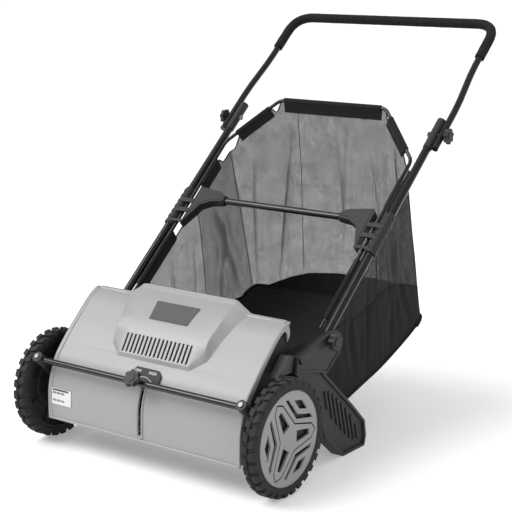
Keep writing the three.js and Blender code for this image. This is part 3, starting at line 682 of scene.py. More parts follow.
def hoodRows():
    plan = hoodPlan
    rows = []
    slotLow, slotHigh = plan["slot"][1], plan["slot"][2]
    front = spline(plan["front"], 5)
    heights = sorted([z for _, z in front] + [slotLow, slotHigh])
    for z in heights:
        y = alongY([(q, p) for p, q in front], z, 1)
        rows.append((y, z, y, z, *plan["flatHalf"]))
    top = spline(plan["top"], 8)
    panel = spline(plan["panel"], 4)
    for y in sorted([*plan["topRows"], *plan["ventRows"]]):
        base = alongY(top, y, 1)
        if y < -33:
            rows.append((y, base, y, base, *plan["flatHalf"]))
        else:
            rows.append((y, base, y, alongY(panel, y, 1), alongY(panel, y, 2), alongY(panel, y, 3)))
    lipY, lipZ = plan["lip"]
    last = plan["panel"][-1]
    rows.append((97, 333, 97, last[1] - 4, last[2], last[3]))
    rows.append((lipY, lipZ, lipY, last[1] - 14, last[2], last[3]))
    return rows


def hoodColumns():
    # Each column is (kind, side, x); kind says how it follows the raised panel.
    plan = hoodPlan
    pitch = 2 * plan["ventHalf"] / plan["vents"]
    middle = []
    for i in range(plan["vents"]):
        c = -plan["ventHalf"] + pitch * (i + 0.5)
        middle += [c - plan["slotHalf"], c + plan["slotHalf"]]
    middle += [-plan["slot"][0], plan["slot"][0]]
    right = [("top", 1, 0), ("curve1", 1, 0), ("curve2", 1, 0), ("foot", 1, 0),
             ("crease", 1, 0), ("inset", 1, 0), ("rim", 1, 0), ("round", 1, 0), ("end", 1, 0),
             ("skirt", 1, 0)]
    left = [(kind, -1, 0) for kind, _, _ in reversed(right)]
    return left + [("middle", 0, x) for x in sorted(middle)] + right


def hoodPoint(row, column):
    y, z, panelY, panelZ, top, foot = row
    kind, side, x = column
    lift = {"middle": 1, "top": 1, "curve1": 0.95, "curve2": 0.07}.get(kind, 0)
    x = {
        "middle": x,
        "top": side * top,
        "curve1": side * (top + (foot - top) * hoodPlan["curveTop"]),
        "curve2": side * (top + (foot - top) * hoodPlan["curveFoot"]),
        "foot": side * foot,
        "crease": side * hoodPlan["crease"],
        "inset": side * hoodPlan["inset"],
        "rim": side * hoodPlan["rim"],
        "round": side * hoodPlan["round"],
        "end": side * hoodPlan["halfWidth"],
        "skirt": side * (hoodPlan["halfWidth"] - 0.5),
    }[kind]
    drop = {"crease": 0.7, "rim": -2.4, "round": -2.2, "end": 0, "skirt": 14}.get(kind, 0)
    if kind == "foot" and row[0] > -30:
        drop = 1.4
    if row[0] > 86 and kind not in ("rim", "round", "end", "skirt"):
        drop = -2.2
    if row[0] > 78 and kind in ("round", "end", "skirt"):
        drop += 9 * smoothStep((row[0] - 78) / 16)  # the rear corners are chamfered
    inward = Vector((-y, 170 - z)).normalized() * drop
    return at(x, y + (panelY - y) * lift + inward.x, z + (panelZ - z) * lift + inward.y)


def isOpen(row, nextRow, column, nextColumn):
    # True where a vent slot or the adjuster's slot cuts the sheet.
    if column[0] != "middle" or nextColumn[0] != "middle":
        return False
    midX = (column[2] + nextColumn[2]) / 2
    midY, midZ = (row[0] + nextRow[0]) / 2, (row[1] + nextRow[1]) / 2
    low, high = hoodPlan["ventRows"]
    if low < midY < high and midY > -33:
        pitch = 2 * hoodPlan["ventHalf"] / hoodPlan["vents"]
        place = (midX + hoodPlan["ventHalf"]) % pitch - pitch / 2
        return abs(place) < hoodPlan["slotHalf"]
    half, bottom, top = hoodPlan["slot"]
    return midY < -50 and bottom < midZ < top and abs(midX) < half


def makeHood():
    rows, columns = hoodRows(), hoodColumns()
    points = [hoodPoint(row, column) for row in rows for column in columns]
    width = len(columns)
    faces = []
    for r in range(len(rows) - 1):
        for c in range(width - 1):
            if not isOpen(rows[r], rows[r + 1], columns[c], columns[c + 1]):
                a = r * width + c
                faces.append([a, a + 1, a + width + 1, a + width])
    mesh = meshFrom("hood_shell", points, faces)
    hood = placePiece("hood_shell", mesh, "hoodPlastic", "chassis", 24)
    wall = hood.modifiers.new("wall", "SOLIDIFY")
    wall.thickness = hoodPlan["wall"] * mm
    wall.offset = -1
    addBevel(hood, 1.1, 2, 34)
    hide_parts("hood", "vent_grille")
    return rows


hoodGrid = makeHood()


def makeHoodTrim():
    # The rolled rim along the rear edge and both ends, the rim round the slot and the lower lip.
    trim = Shapes()
    rear = []
    rows = hoodGrid
    last = rows[-3]
    sideDrop = [(264, -8), (257, 0), (190, 0), (166, 0), (126, 24)]
    for x, lift in sideDrop:
        rear.append(at(x, 95, last[1] - 1 + lift))
    rear += [at(-x, 95, last[1] - 1 + lift) for x, lift in reversed(sideDrop)]
    trim.tube(roundedPath(rear, 14, 5), 3.2, 12)
    for side in (-1, 1):
        edge = [at(side * 266, row[0] * 0.995, row[1] - 0.8) for row in rows[:-1:2]]
        trim.tube(edge, 2.8, 10)
    half, bottom, top = hoodPlan["slot"]
    front = [(row[0], row[1]) for row in rows if bottom - 3 <= row[1] <= top + 3 and row[0] < -45]
    outline = [at(-half - 2.2, y - 0.5, z) for y, z in front]
    outline += [at(half + 2.2, y - 0.5, z) for y, z in reversed(front)]
    foot = [at(x, -79.5, bottom - 3 - 3.2 * math.cos(x / 6.7 * math.pi / 2))
            for x in (5.2, 2.6, 0, -2.6, -5.2)]
    trim.tube(outline + foot, 2.4, 10, closed=True)
    trim.tube([at(-266, -79.5, 73), at(266, -79.5, 73)], 3, 12)
    placePiece("hood_rims", trim.mesh("hood_rims"), "hoodPlastic", "chassis")
    # A near-black sheet behind the vent slots is painted shade: it stands in for the shade inside the hood.
    shadeSheet = Shapes()
    shadeSheet.loft([[at(x, y, z) for y, z in hoodPlan["shadeSheet"]] for x in (-97, 97)])
    placePiece("vent_shade_sheet", shadeSheet.mesh("vent_shade_sheet"), "paintedShadeInside", "chassis")


makeHoodTrim()
print("hood: shell, rims and vent")

signPlan = {
    "scaleText": 8.6,
    "labelBars": [(0.12, 0.86, 4.2), (0.12, 0.74, 1.6), (0.12, 0.67, 1.6), (0.12, 0.28, 1.4),
                  (0.12, 0.21, 1.4)],
}


def surfaceFrame(low, high):
    # A frame on a sloping plate from its lower to its upper edge: across, up the slope, and out.
    across = Vector((1, 0, 0))
    up = (high - low).normalized()
    return across, up, across.cross(up)


def makeScaleSigns():
    low, high = at(0, -62, 190), at(0, -43, 222)
    across, up, out = surfaceFrame(low, high)
    face = low + out * (6.5 * mm + 0.1 * mm)
    height = (high - low).length
    turn = Matrix((across, up, out)).transposed().to_4x4()
    for word, x in (("LOW", -25), ("HIGH", 17)):
        data = bpy.data.curves.new(word.lower() + "_mark", "FONT")
        data.body = word
        data.size = signPlan["scaleText"] * mm
        data.align_x = "CENTER"
        data.extrude = 0.15 * mm
        data.offset = 0.12 * mm
        text = bpy.data.objects.new(word.lower() + "_mark", data)
        text.matrix_world = Matrix.Translation(face + across * (x * mm) + up * (height * 0.7)) @ turn
        bpy.context.collection.objects.link(text)
        depsgraph = bpy.context.evaluated_depsgraph_get()
        mesh = bpy.data.meshes.new_from_object(text.evaluated_get(depsgraph))
        mesh.transform(text.matrix_world)
        bpy.data.objects.remove(text)
        placePiece(word.lower() + "_mark", mesh, "printWhite", "chassis")
    marks = Shapes()
    arc = []
    for k in range(13):
        t = k / 12
        rise = height * (0.28 + 0.2 * math.sin(math.pi * t))
        arc.append(face + across * ((-24 + 44 * t) * mm) + up * rise)
    marks.tube(arc, 0.7, 6)
    tip = face + across * (24 * mm) + up * (height * 0.2)
    wingHigh = across * (-7 * mm) + up * (4.5 * mm)
    wingLow = across * (-5 * mm) - up * (3.5 * mm)
    marks.loft([[tip + lift, tip + wingHigh + lift, tip + wingLow + lift]
                for lift in (out * 0, out * (0.3 * mm))])
    placePiece("scale_arrow", marks.mesh("scale_arrow"), "printWhite", "chassis")


def makeLabelPrint():
    low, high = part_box("hood_label")
    across, up, out = surfaceFrame(Vector((0, low.y, low.z)), Vector((0, low.y + 2 * mm, high.z)))
    width, height = high.x - low.x, high.z - low.z
    bars = Shapes()
    for left, level, thick in signPlan["labelBars"]:
        start = Vector((low.x + width * left, low.y - 0.1 * mm, low.z)) + up * (height * level)
        long = width * (0.76 if thick > 2 else 0.6)
        for k in range(1 if thick > 2 else 3):
            a = start + across * (long * k / 3)
            b = a + across * (long if thick > 2 else long / 3.6)
            ring = [a, b, b + up * (thick * mm), a + up * (thick * mm)]
            bars.loft([ring, [p + out * (0.25 * mm) for p in ring]])
    placePiece("label_print", bars.mesh("label_print"), "printGrey", "chassis")


makeScaleSigns()
makeLabelPrint()
print("signs: scale and label")

wheelPlan = {
    "blocks": 30,
    "blockShare": 0.62,
    "skew": 2.6,
    "arms": (118, -2, 238),
    "hubRadius": 102.6,
    "grooveFloor": 328.3,
    "capRadius": 21,
}


def roundWheel(x, angle, reach):
    a = math.radians(angle)
    return at(x, reach * math.cos(a), axleHeight + reach * math.sin(a))


def makeTyre(side, body):
    shapes = Shapes()
    centre = at(0, 0, axleHeight)
    profile = [(103.4, 304), (106, 302.8), (112, 302.6), (116.5, 304.5), (119, 308), (119.6, 318.5),
               (119, 329), (116.5, 332.6), (112, 334.4), (106, 334.2), (103.4, 332.8)]
    shapes.turned([(r, side * x) for r, x in profile], centre, sides=120)
    rows = [  # block cross sections as (radius, x), outer row then inner row
        [(116, 319.6), (124.6, 320.4), (125, 328), (124, 332.4), (120.5, 334.9), (110.5, 335.2),
         (110, 332)],
        [(116, 317.4), (124.6, 316.6), (125, 309), (124, 304.6), (120.5, 302.3), (110.5, 302.1),
         (110, 305)],
    ]
    pitch = 360 / wheelPlan["blocks"]
    for row, section in enumerate(rows):
        for i in range(wheelPlan["blocks"]):
            a0 = pitch * (i + 0.5 * row)
            long = pitch * wheelPlan["blockShare"] * (1 if i % 2 else 0.9)
            rings = []
            for t in (0, 0.5, 1):
                ring = []
                for r, x in section:
                    lean = wheelPlan["skew"] * (x - 318.5) / 16 * (1 if row else -1)
                    ring.append(roundWheel(side * x, a0 + long * t + lean, r))
                rings.append(ring)
            shapes.loft(rings)
    name = "tyre_tread_" + sideWord(side)
    tyre = placePiece(name, shapes.mesh(name), "tyreRubber", body, 40)
    addBevel(tyre, 0.8, 1, 40)
    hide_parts("tyre_" + sideWord(side))


def makeRim(side, body):
    shapes = Shapes()
    profile = [(103.2, 333.4), (103.2, 303.2), (99.5, 303.2), (98.6, 305.5), (97, 311), (93.5, 312),
               (92, 318.5), (62, 320.4), (60, 316.8), (52, 316.8), (50, 321), (24, 321), (22, 318.2),
               (12.6, 318.2), (12.6, 324.5), (96, 324.5), (99.4, 333.4)]
    shapes.turned([(r, side * x) for r, x in profile], at(0, 0, axleHeight), sides=96)
    for k in range(9):  # stiffening ribs on the inner side
        a = 40 * k
        rings = []
        for reach, x0, x1 in ((26, 319, 322.6), (58, 317.4, 321), (91, 313.6, 319.6)):
            half = math.degrees(1.3 / reach)
            rings.append([roundWheel(side * x0, a - half, reach), roundWheel(side * x0, a + half, reach),
                          roundWheel(side * x1, a + half, reach), roundWheel(side * x1, a - half, reach)])
        shapes.loft(rings)
    name = "rim_ribbed_" + sideWord(side)
    rim = placePiece(name, shapes.mesh(name), "blackPlastic", body)
    addBevel(rim, 0.6, 1, 40)
    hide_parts("wheel_rim_" + sideWord(side))


def polar(reach, angle):
    a = math.radians(angle)
    return Vector((reach * math.cos(a), reach * math.sin(a)))


def wheelPrism(shapes, outline, side, fromX, toX):
    # An outline of (reach, angle) points round the axle, pulled along x.
    shapes.loft([[roundWheel(side * x, a, reach) for reach, a in outline] for x in (fromX, toX)])


def makeHubCap(side, body):
    plan = wheelPlan
    name = "hub_cover_" + sideWord(side)
    dome = Shapes()
    profile = [(0, 334.6), (40, 334.5), (70, 334), (90, 333.4), (93, 333.9), (99, 333.6), (101.6, 332.6),
               (plan["hubRadius"], 331), (98.6, 331), (95, 329), (0, 329)]
    dome.turned([(r, side * x) for r, x in profile], at(0, 0, axleHeight), sides=120)
    cap = placePiece(name, dome.mesh(name), "capPlastic", body, 30)
    grooves, pockets = Shapes(), Shapes()
    deep = 336.5
    for theta in plan["arms"]:
        # a pocket inside the arm, and the two edges of the arm as grooves
        flat = [(24, 12.5), (48, 9.5), (70, 6)]
        outline = [(math.hypot(r, h), theta + math.degrees(math.atan2(h, r))) for r, h in flat]
        outline += [(math.hypot(r, h), theta - math.degrees(math.atan2(h, r))) for r, h in reversed(flat)]
        wheelPrism(pockets, outline, side, 328, deep)
        for turn in (-1, 1):
            inner = polar(33, theta + turn * 60)
            outer = polar(80, theta + turn * 11)
            tip = polar(92, theta)
            for p, q in ((inner, outer), (outer, tip)):
                along = (q - p).normalized()
                normal = Vector((-along.y, along.x)) * 1.6
                quad = [p + normal - along, q + normal + along, q - normal + along, p - normal - along]
                outline = [(v.length, math.degrees(math.atan2(v.y, v.x))) for v in quad]
                wheelPrism(grooves, outline, side, plan["grooveFloor"], deep)
        phi = theta + 60
        vee = [(43, phi), (85, phi + 41), (83.6, phi + 34), (54, phi), (83.6, phi - 34), (85, phi - 41)]
        wheelPrism(pockets, vee, side, 328.2, deep - 0.2)
        leaf = [(65, phi), (79, phi + 20), (85, phi), (79, phi - 20)]
        wheelPrism(pockets, leaf, side, 328.1, deep - 0.1)
    cutters = []
    for label, shape in (("grooves", grooves), ("pockets", pockets)):
        tool = bpy.data.objects.new(label, shape.mesh(label))
        bpy.context.collection.objects.link(tool)
        cutters.append(tool)
        step = cap.modifiers.new(label, "BOOLEAN")
        step.operation = "DIFFERENCE"
        step.solver = "EXACT"
        step.use_self = True
        step.object = tool
    depsgraph = bpy.context.evaluated_depsgraph_get()
    carved = bpy.data.meshes.new_from_object(cap.evaluated_get(depsgraph))
    cap.modifiers.clear()
    cap.data = carved
    for tool in cutters:
        bpy.data.objects.remove(tool)
    carved.polygons.foreach_set("use_smooth", [True] * len(carved.polygons))
    carved.set_sharp_from_angle(angle=math.radians(20))
    addBevel(cap, 0.5, 2, 30)
    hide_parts("hubcap_" + sideWord(side))


def makeAxleCap(side, body):
    shapes = Shapes()
    r = wheelPlan["capRadius"]
    profile = [(r - 0.4, 333), (r - 0.4, 334.2), (r - 1.6, 335), (14, 335.2), (13, 334.4), (0, 334.6),
               (0, 333)]
    shapes.turned([(a, side * x) for a, x in profile], at(0, 0, axleHeight), sides=64)
    name = "centre_cap_" + sideWord(side)
    cap = placePiece(name, shapes.mesh(name), "capPlastic", body, 25)
    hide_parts("axle_cap_" + sideWord(side))


for wheelSide in (1, -1):
    wheelBody = "wheel_" + sideWord(wheelSide)
    makeTyre(wheelSide, wheelBody)
    makeRim(wheelSide, wheelBody)
    makeHubCap(wheelSide, wheelBody)
    makeAxleCap(wheelSide, wheelBody)
print("wheels: tyres, rims and caps")

tubePlan = {
    "lowerX": 288, "lowerRadius": 9.5, "lowerStart": -78, "lowerEnd": 613,
    "upperX": 307.5, "gripX": 297, "upperRadius": 8, "upperStart": 524, "upperEnd": 936.5, "corner": 56,
    "gripStart": 820, "gripRadius": 12,
    "rodX": 266, "rodRadius": 4.5, "rodStart": -40, "rodBend": 34,
    "rodCorners": [(-269, 573, 619), (-153, 647, 724), (153, 647, 724), (269, 573, 619)],
}


def cross(node):
    # The middle line of a bar that lies along x, from its CAD node.
    low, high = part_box(node)
    middle = (low + high) / 2
    start, end = Vector((low.x, middle.y, middle.z)), Vector((high.x, middle.y, middle.z))
    return start, end, (high.z - low.z) / 2 / mm


def sweptPiece(name, path, radius, finish, body, node=None, sides=28):
    shapes = Shapes()
    shapes.tube(path, radius, sides)
    piece = placePiece(name, shapes.mesh(name), finish, body, 40)
    if node:
        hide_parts(node)
    return piece


def upperHandlePath():
    plan = tubePlan
    side = [(plan["upperX"], plan["upperStart"]), (plan["upperX"], 645), (plan["upperX"] - 1.5, 680),
            (plan["gripX"] + 1.5, 760), (plan["gripX"], 795), (plan["gripX"], plan["upperEnd"])]
    right = [onHandle(x, s) for x, s in side]
    left = [onHandle(-x, s) for x, s in side]
    return roundedPath(left + right[::-1], plan["corner"], 12)


def gripPath():
    plan = tubePlan
    right = [onHandle(plan["gripX"], s) for s in (plan["gripStart"], plan["upperEnd"])]
    left = [onHandle(-plan["gripX"], s) for s in (plan["gripStart"], plan["upperEnd"])]
    path = roundedPath(left + right[::-1], plan["corner"], 12)
    fine = []
    for a, b in zip(path, path[1:]):
        count = max(1, round((b - a).length / (6 * mm)))
        fine += [a.lerp(b, k / count) for k in range(count)]
    return fine + [path[-1]]


def makeTubes():
    plan = tubePlan
    for side in (-1, 1):
        word = sideWord(side)
        x = side * plan["lowerX"]
        ends = [onHandle(x, plan["lowerStart"]), onHandle(x, plan["lowerEnd"])]
        sweptPiece("lower_rail_" + word, ends, plan["lowerRadius"], "blackPaint", "chassis",
                   "lower_tube_" + word)
    sweptPiece("handle_loop", upperHandlePath(), plan["upperRadius"], "blackPaint", "upper_handle",
               "upper_handle_tube")
    noise = random.Random(4)
    swell = [noise.uniform(-0.15, 0.15) for _ in range(200)]
    grip = sweptPiece("grip_sleeve", gripPath(), lambda t: plan["gripRadius"] + swell[int(t * 199)],
                      "gripFoam", "upper_handle", "foam_grip", 32)
    addBevel(grip, 2.2, 3, 60)
    for node, name, body in (("crossbar", "cross_rail", "chassis"), ("rear_tie_bar", "tie_rail", "chassis"),
                             ("adjuster_rod", "height_rail", "height_adjuster")):
        start, end, radius = cross(node)
        sweptPiece(name, [start, end], radius, "blackPaint", body, node)
    rodX, rodStart = plan["rodX"], plan["rodStart"]
    path = [onHandle(-rodX, rodStart), *[at(*p) for p in plan["rodCorners"]], onHandle(rodX, rodStart)]
    rod = roundedPath(path, plan["rodBend"], 10)
    sweptPiece("bag_rod", rod, plan["rodRadius"], "blackPaint", "bag", "bag_frame", 20)


makeTubes()
print("tubes: rails, handle loop, grip and bag rod")

bagPlan = {
    "sideX": 256,
    "middle": (257, 574, 613),
    "topCorner": (153, 648, 722),
    "floor": [(168, 61), (240, 79), (328, 107), (400, 127), (480, 149), (592, 191), (668, 227)],
    "rear": (672, 229),
    "bow": 14,
    "sideColumns": 64,
    "backColumns": 150,
    "rows": 56,
    # where net meets cloth: (share across the back, height) and (y along the sides, height)
    "backSeam": [(-1, 216), (-0.82, 236), (-0.6, 262), (-0.35, 282), (0, 293), (0.5, 296), (1, 297)],
    "sideSeam": [(176, 250), (300, 286), (517, 330), (610, 318), (672, 297)],
    "leftSeam": [(176, 150), (300, 168), (517, 205), (672, 216)],
    # creases: share at the top, share at the bottom, width, depth in mm, from and to down the cloth
    "backCreases": [(-0.44, -0.70, 0.018, 12, 0.1, 0.99), (-0.80, -0.95, 0.02, 9, 0.12, 0.99),
                    (-0.33, -0.36, 0.012, 4, 0.02, 0.3), (0.02, 0.12, 0.035, 6, 0.1, 0.6),
                    (0.16, 0.02, 0.03, 6, 0.05, 0.8), (0.36, 0.60, 0.02, 8, 0.2, 0.62),
                    (0.74, 0.90, 0.018, 10, 0.06, 0.6), (0.6, 0.5, 0.05, 5, 0.1, 0.95)],
    "sideCreases": [(0.30, 0.42, 0.03, 6, 0.1, 0.9), (0.55, 0.50, 0.02, 7, 0.2, 1.0),
                    (0.72, 0.9, 0.03, 8, 0.15, 0.95), (0.9, 0.7, 0.025, 7, 0.3, 1.0)],
    "sleeveReach": 27,
}


def alongList(stations, value, index=1):
    if value <= stations[0][0]:
        return stations[0][index]
    for a, b in zip(stations, stations[1:]):
        if value <= b[0]:
            t = (value - a[0]) / (b[0] - a[0])
            return a[index] + (b[index] - a[index]) * t
    return stations[-1][index]


def creaseDepth(creases, place, down):
    depth = 0
    for top, bottom, wide, deep, start, end in creases:
        centre = top + (bottom - top) * down
        if start < down < end:
            hold = math.sin(math.pi * (down - start) / (end - start)) ** 0.6
            away = abs(place - centre) / wide
            depth += deep * hold * (math.exp(-away * away) - 0.35 * math.exp(-((away - 2.2) ** 2)))
    return depth


class BagColumn:
    def __init__(self, top, bottom, outward, seamHeight, side, place, drop):
        self.top, self.bottom, self.outward = top, bottom, outward
        self.seam = min(max((top.z / mm - seamHeight) / ((top.z - bottom.z) / mm), 0.05), 0.985)
        self.side, self.place = side, place
        self.top = top + (bottom - top).normalized() * (drop * mm)


def hemDrop(distance, sleeves):
    # How far the cloth's edge hangs below the rod where no sleeve holds it.
    away = min(max(a - distance, distance - b, 0) for a, b in sleeves)
    return 20 * smoothStep(away / 22)


def bagColumns():
    plan = bagPlan
    columns = []
    middleX, middleY, middleZ = plan["middle"]
    start = Vector((0, 225, 309))
    middle = Vector((0, middleY, middleZ))
    length = (middle - start).length
    sideSleeves = [(-60, length * 0.34), (length * 0.62, length * 0.88)]
    count = plan["sideColumns"]
    floor = spline([(y, z) for y, z in plan["floor"]], 8)
    for sign in (-1, 1):
        run = []
        for i in range(count):
            t = i / (count - 1)
            y, z = start.y + (middle.y - start.y) * t, start.z + (middle.z - start.z) * t
            floorY = 168 + (668 - 168) * t
            seam = alongList(plan["sideSeam"], (y + floorY) / 2)
            if sign < 0:
                seam = alongList(plan["leftSeam"], (y + floorY) / 2)
            topX = plan["sideX"] + (264 - plan["sideX"]) * (1 - t * 0.4)
            low = at(sign * plan["sideX"], floorY, alongList(floor, floorY))
            run.append(BagColumn(at(sign * topX, y, z), low, Vector((sign, 0, 0)), seam, "side", t,
                                 hemDrop(t * length, sideSleeves)))
        columns.append(run)
    back = []
    topX, topY, topZ = plan["topCorner"]
    corner = Vector((topX, topY, topZ))
    lean = (corner - Vector(plan["middle"])).length
    half = lean + topX
    near, far = topX + lean * 0.2, topX + lean * 0.8
    backSleeves = [(-topX + 6, topX - 6), (near, far), (-far, -near)]
    n = plan["backColumns"]
    for i in range(n):
        along = -half + 2 * half * i / (n - 1)
        if abs(along) <= topX:
            p = Vector((along, topY, topZ))
        else:
            t = (abs(along) - topX) / lean
            p = Vector((math.copysign(topX + (middleX - topX) * t, along), topY + (middleY - topY) * t,
                        topZ + (middleZ - topZ) * t))
        share = p.x / middleX
        low = at(share * 253, plan["rear"][0] + plan["bow"] * (1 - share * share), plan["rear"][1])
        back.append(BagColumn(at(*p), low, Vector((0, 1, 0.06)), alongList(plan["backSeam"], share),
                              "back", share, hemDrop(along, backSleeves)))
    left, right = columns
    return left, back, right[::-1]


def bagGrid():
    plan = bagPlan
    noise = random.Random(7)
    waves = [(noise.uniform(6, 30), noise.uniform(-5, 5), noise.uniform(0, 6.28), noise.uniform(0.3, 0.9))
             for _ in range(9)]
    left, back, right = bagColumns()
    columns = left + back[1:-1] + right
    rows = plan["rows"]
    upper = rows * 2 // 3
    grid, density = [], []
    for column in columns:
        line, folds = [], []
        creases = plan["backCreases"] if column.side == "back" else plan["sideCreases"]
        for r in range(rows + 1):
            if r <= upper:
                down = column.seam * r / upper
            else:
                down = column.seam + (1 - column.seam) * (r - upper) / (rows - upper)
            p = column.top.lerp(column.bottom, down)
            hold = math.sin(math.pi * min(max(down, 0), 1)) ** 0.7 if 0 < down < 1 else 0
            ripple = sum(a * math.sin(f * column.place * 2.2 + g * down * 3 + ph) for f, g, ph, a in waves)
            fold = creaseDepth(creases, column.place, down)
            if column.side == "side":
                reach = fold * 0.8 + ripple * hold * 0.8
                edge = smoothStep(min(column.place, 1 - column.place) / 0.06)
                p += column.outward * (-(abs(reach) * edge + 6 * hold * edge) * mm)
            else:
                edge = smoothStep((1 - abs(column.place)) / 0.05)
                belly = 9 * hold * (1 - column.place ** 2)
                p += column.outward * ((belly - fold + ripple * hold * 1.2) * edge * mm)
            line.append(p)
            doubled = 0.45 * smoothStep((column.place - 0.6) / 0.04) if column.side == "side" else 0
            folds.append(min(max(abs(fold) * 0.085 - 0.12, 0) + doubled, 0.85))
        grid.append(line)
        density.append(folds)
    corners = [len(left) - 1, len(left) + len(back) - 2]
    for _ in range(10):  # the upright corners are soft, not folded
        for c in corners:
            for k in range(c - 3, c + 4):
                for r in range(2, rows + 1):
                    if 0 < k < len(grid) - 1:
                        grid[k][r] = grid[k][r] * 0.5 + (grid[k - 1][r] + grid[k + 1][r]) * 0.25
    return grid, upper, density, corners


def clothPiece(name, rows, finish):
    # A sheet from rows of points, with its own lengths as its map so the weave keeps its size.
    high, wide = len(rows), len(rows[0])
    points = [p for row in rows for p in row]
    faces = [[r * wide + c, r * wide + c + 1, (r + 1) * wide + c + 1, (r + 1) * wide + c]
             for r in range(high - 1) for c in range(wide - 1)]
    mesh = meshFrom(name, points, faces)
    middle = rows[high // 2]
    across = [0]
    for a, b in zip(middle, middle[1:]):
        across.append(across[-1] + (b - a).length)
    down = [[0] * wide]
    for a, b in zip(rows, rows[1:]):
        down.append([d + (q - p).length for d, p, q in zip(down[-1], a, b)])
    layer = mesh.uv_layers.new(name="cloth")
    for loop in mesh.loops:
        r, c = divmod(loop.vertex_index, wide)
        layer.data[loop.index].uv = (across[c], down[r][c])
    piece = placePiece(name, mesh, finish, "bag", 180)
    print("cloth:", name, "area", round(sum(polygon.area for polygon in mesh.polygons), 4))
    return piece


def teardrop(shapes, start, end, hang, reach):
    # A flat sleeve of cloth sewn round the rod: round over it, thin below it.
    along = (end - start).normalized()
    hang = (hang - along * hang.dot(along)).normalized()
    side = along.cross(hang)
    section = []
    for k in range(11):
        a = math.radians(-140 + 28 * k)
        section.append((-math.cos(a) * 6.8, math.sin(a) * 6.8))
    section += [(reach, 1.7), (reach + 1, 0), (reach, -1.7)]
    rings = []
    steps = 14
    noise = random.Random(int(start.x * 1000) + 400)
    for i in range(steps + 1):
        p = start.lerp(end, i / steps)
        puff = 1 + 0.05 * noise.uniform(-1, 1)
        rings.append([p + hang * (d * mm) + side * (w * puff * mm) for d, w in section])
    shapes.loft(rings)


def makeBag():
    plan = bagPlan
    grid, upper, density, corners = bagGrid()
    rows = [[line[r] for line in grid] for r in range(plan["rows"] + 1)]
    net = clothPiece("bag_net", rows[:upper + 1], "bagNet")
    fold = net.data.attributes.new("fold", "FLOAT", "POINT")
    fold.data.foreach_set("value", [line[r] for r in range(upper + 1) for line in density])
    cloth = clothPiece("bag_cloth", rows[upper:], "bagCloth")
    floorLeft, floorRight = rows[-1][:corners[0] + 1], rows[-1][corners[1]:][::-1]
    lines = []
    for a, b in zip(floorLeft, floorRight):
        t = len(lines) / (len(floorLeft) - 1)
        row = []
        for k in range(41):
            s = k / 40
            sag = 5 * math.sin(math.pi * s) * math.sin(math.pi * t) + 1.5 * math.sin(9 * s + 7 * t)
            sag *= smoothStep(min(s, 1 - s) / 0.08)
            bow = plan["bow"] * (1 - (2 * s - 1) ** 2) * smoothStep((t - 0.6) / 0.4)
            row.append(a.lerp(b, s) + Vector((0, bow * mm, -sag * mm)))
        lines.append(row)
    rearEdge = rows[-1][corners[0]:corners[1] + 1]
    for k in range(41):
        place = k / 40 * (len(rearEdge) - 1)
        low = int(place)
        meet = rearEdge[low].lerp(rearEdge[min(low + 1, len(rearEdge) - 1)], place - low)
        for back in range(6):
            point = lines[-1 - back][k]
            lines[-1 - back][k] = point.lerp(meet + (point - lines[-1][k]), 1 - back / 6)
        lines[-1][k] = meet
    floor = clothPiece("bag_base", lines, "bagCloth")
    for piece in (cloth, floor):
        wall = piece.modifiers.new("cloth", "SOLIDIFY")
        wall.thickness = 0.8 * mm
        wall.offset = 0
    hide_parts("bag_side_left", "bag_side_right", "bag_back")
    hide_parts("bag_floor")
    # hems, sleeves and piping
    hem = Shapes()
    for sign in (-1, 1):
        down = Vector((0, 0.25, -1))
        hemX = sign * 266
        teardrop(hem, onHandle(hemX, 22), onHandle(hemX, 186), down, plan["sleeveReach"])
        teardrop(hem, onHandle(hemX, 340), onHandle(hemX, 420), down, plan["sleeveReach"])
        low, high = at(sign * 269, 573, 619), at(sign * 153, 647, 724)
        inward = Vector((-sign * 0.55, 0.1, -1))
        teardrop(hem, low.lerp(high, 0.2), low.lerp(high, 0.8), inward, plan["sleeveReach"] - 4)
    teardrop(hem, at(-140, 647, 724), at(140, 647, 724), Vector((0, 0.05, -1)), plan["sleeveReach"] + 2)
    sleeves = placePiece("bag_sleeves", hem.mesh("bag_sleeves"), "bagCloth", "bag", 50)
    binding = Shapes()
    binding.tube(rows[0], 1.5, 8)
    binding.tube(rows[upper], 1.0, 8)
    bottom = rows[-1]
    binding.tube(bottom, 3.6, 10)
    rear = bottom[corners[0] - 4:corners[1] + 5]
    def cornerSwell(t):
        return 3.6 + 2.6 * (smoothStep((0.06 - t) / 0.06) + smoothStep((t - 0.94) / 0.06))

    binding.tube(rear, cornerSwell, 10)
    seamAt = int(plan["sideColumns"] * 0.62)
    binding.tube(grid[seamAt], 1.1, 6)
    binding.tube(grid[-1 - seamAt], 1.1, 6)
    backStart = len(grid) // 2 - int(plan["backColumns"] * 0.17)
    binding.tube(grid[backStart][:upper], 0.7, 6)
    for c in corners:
        binding.tube(grid[c], 1.3, 6)
    trims = placePiece("bag_piping", binding.mesh("bag_piping"), "bagCloth", "bag", 50)


makeBag()
print("bag: net, cloth, floor, sleeves and piping")

legPlan = {
    "innerX": 263, "outerX": 295, "armX": 300, "bandX": 304,
    "leg": [(78, 272), (205, 302), (219, 300), (238, 247), (187, 210), (301, 108), (350, 60), (356, 23),
            (350, 0), (262, 0), (192, 60), (150, 165), (72, 240)],
    "arm": [(78, 272), (205, 302), (219, 300), (238, 247), (187, 210), (150, 222), (72, 240)],
    "band": [(78, 272), (205, 302), (219, 300), (227, 278), (205, 280), (86, 254)],
    "ribs": {"from": (196, 146), "to": (318, 42), "count": 8, "lean": (0.259, -0.966), "half": 2.9,
             "reach": [22, 34, 38, 40, 40, 38, 32, 18]},
    "knob": (191, 283),
}


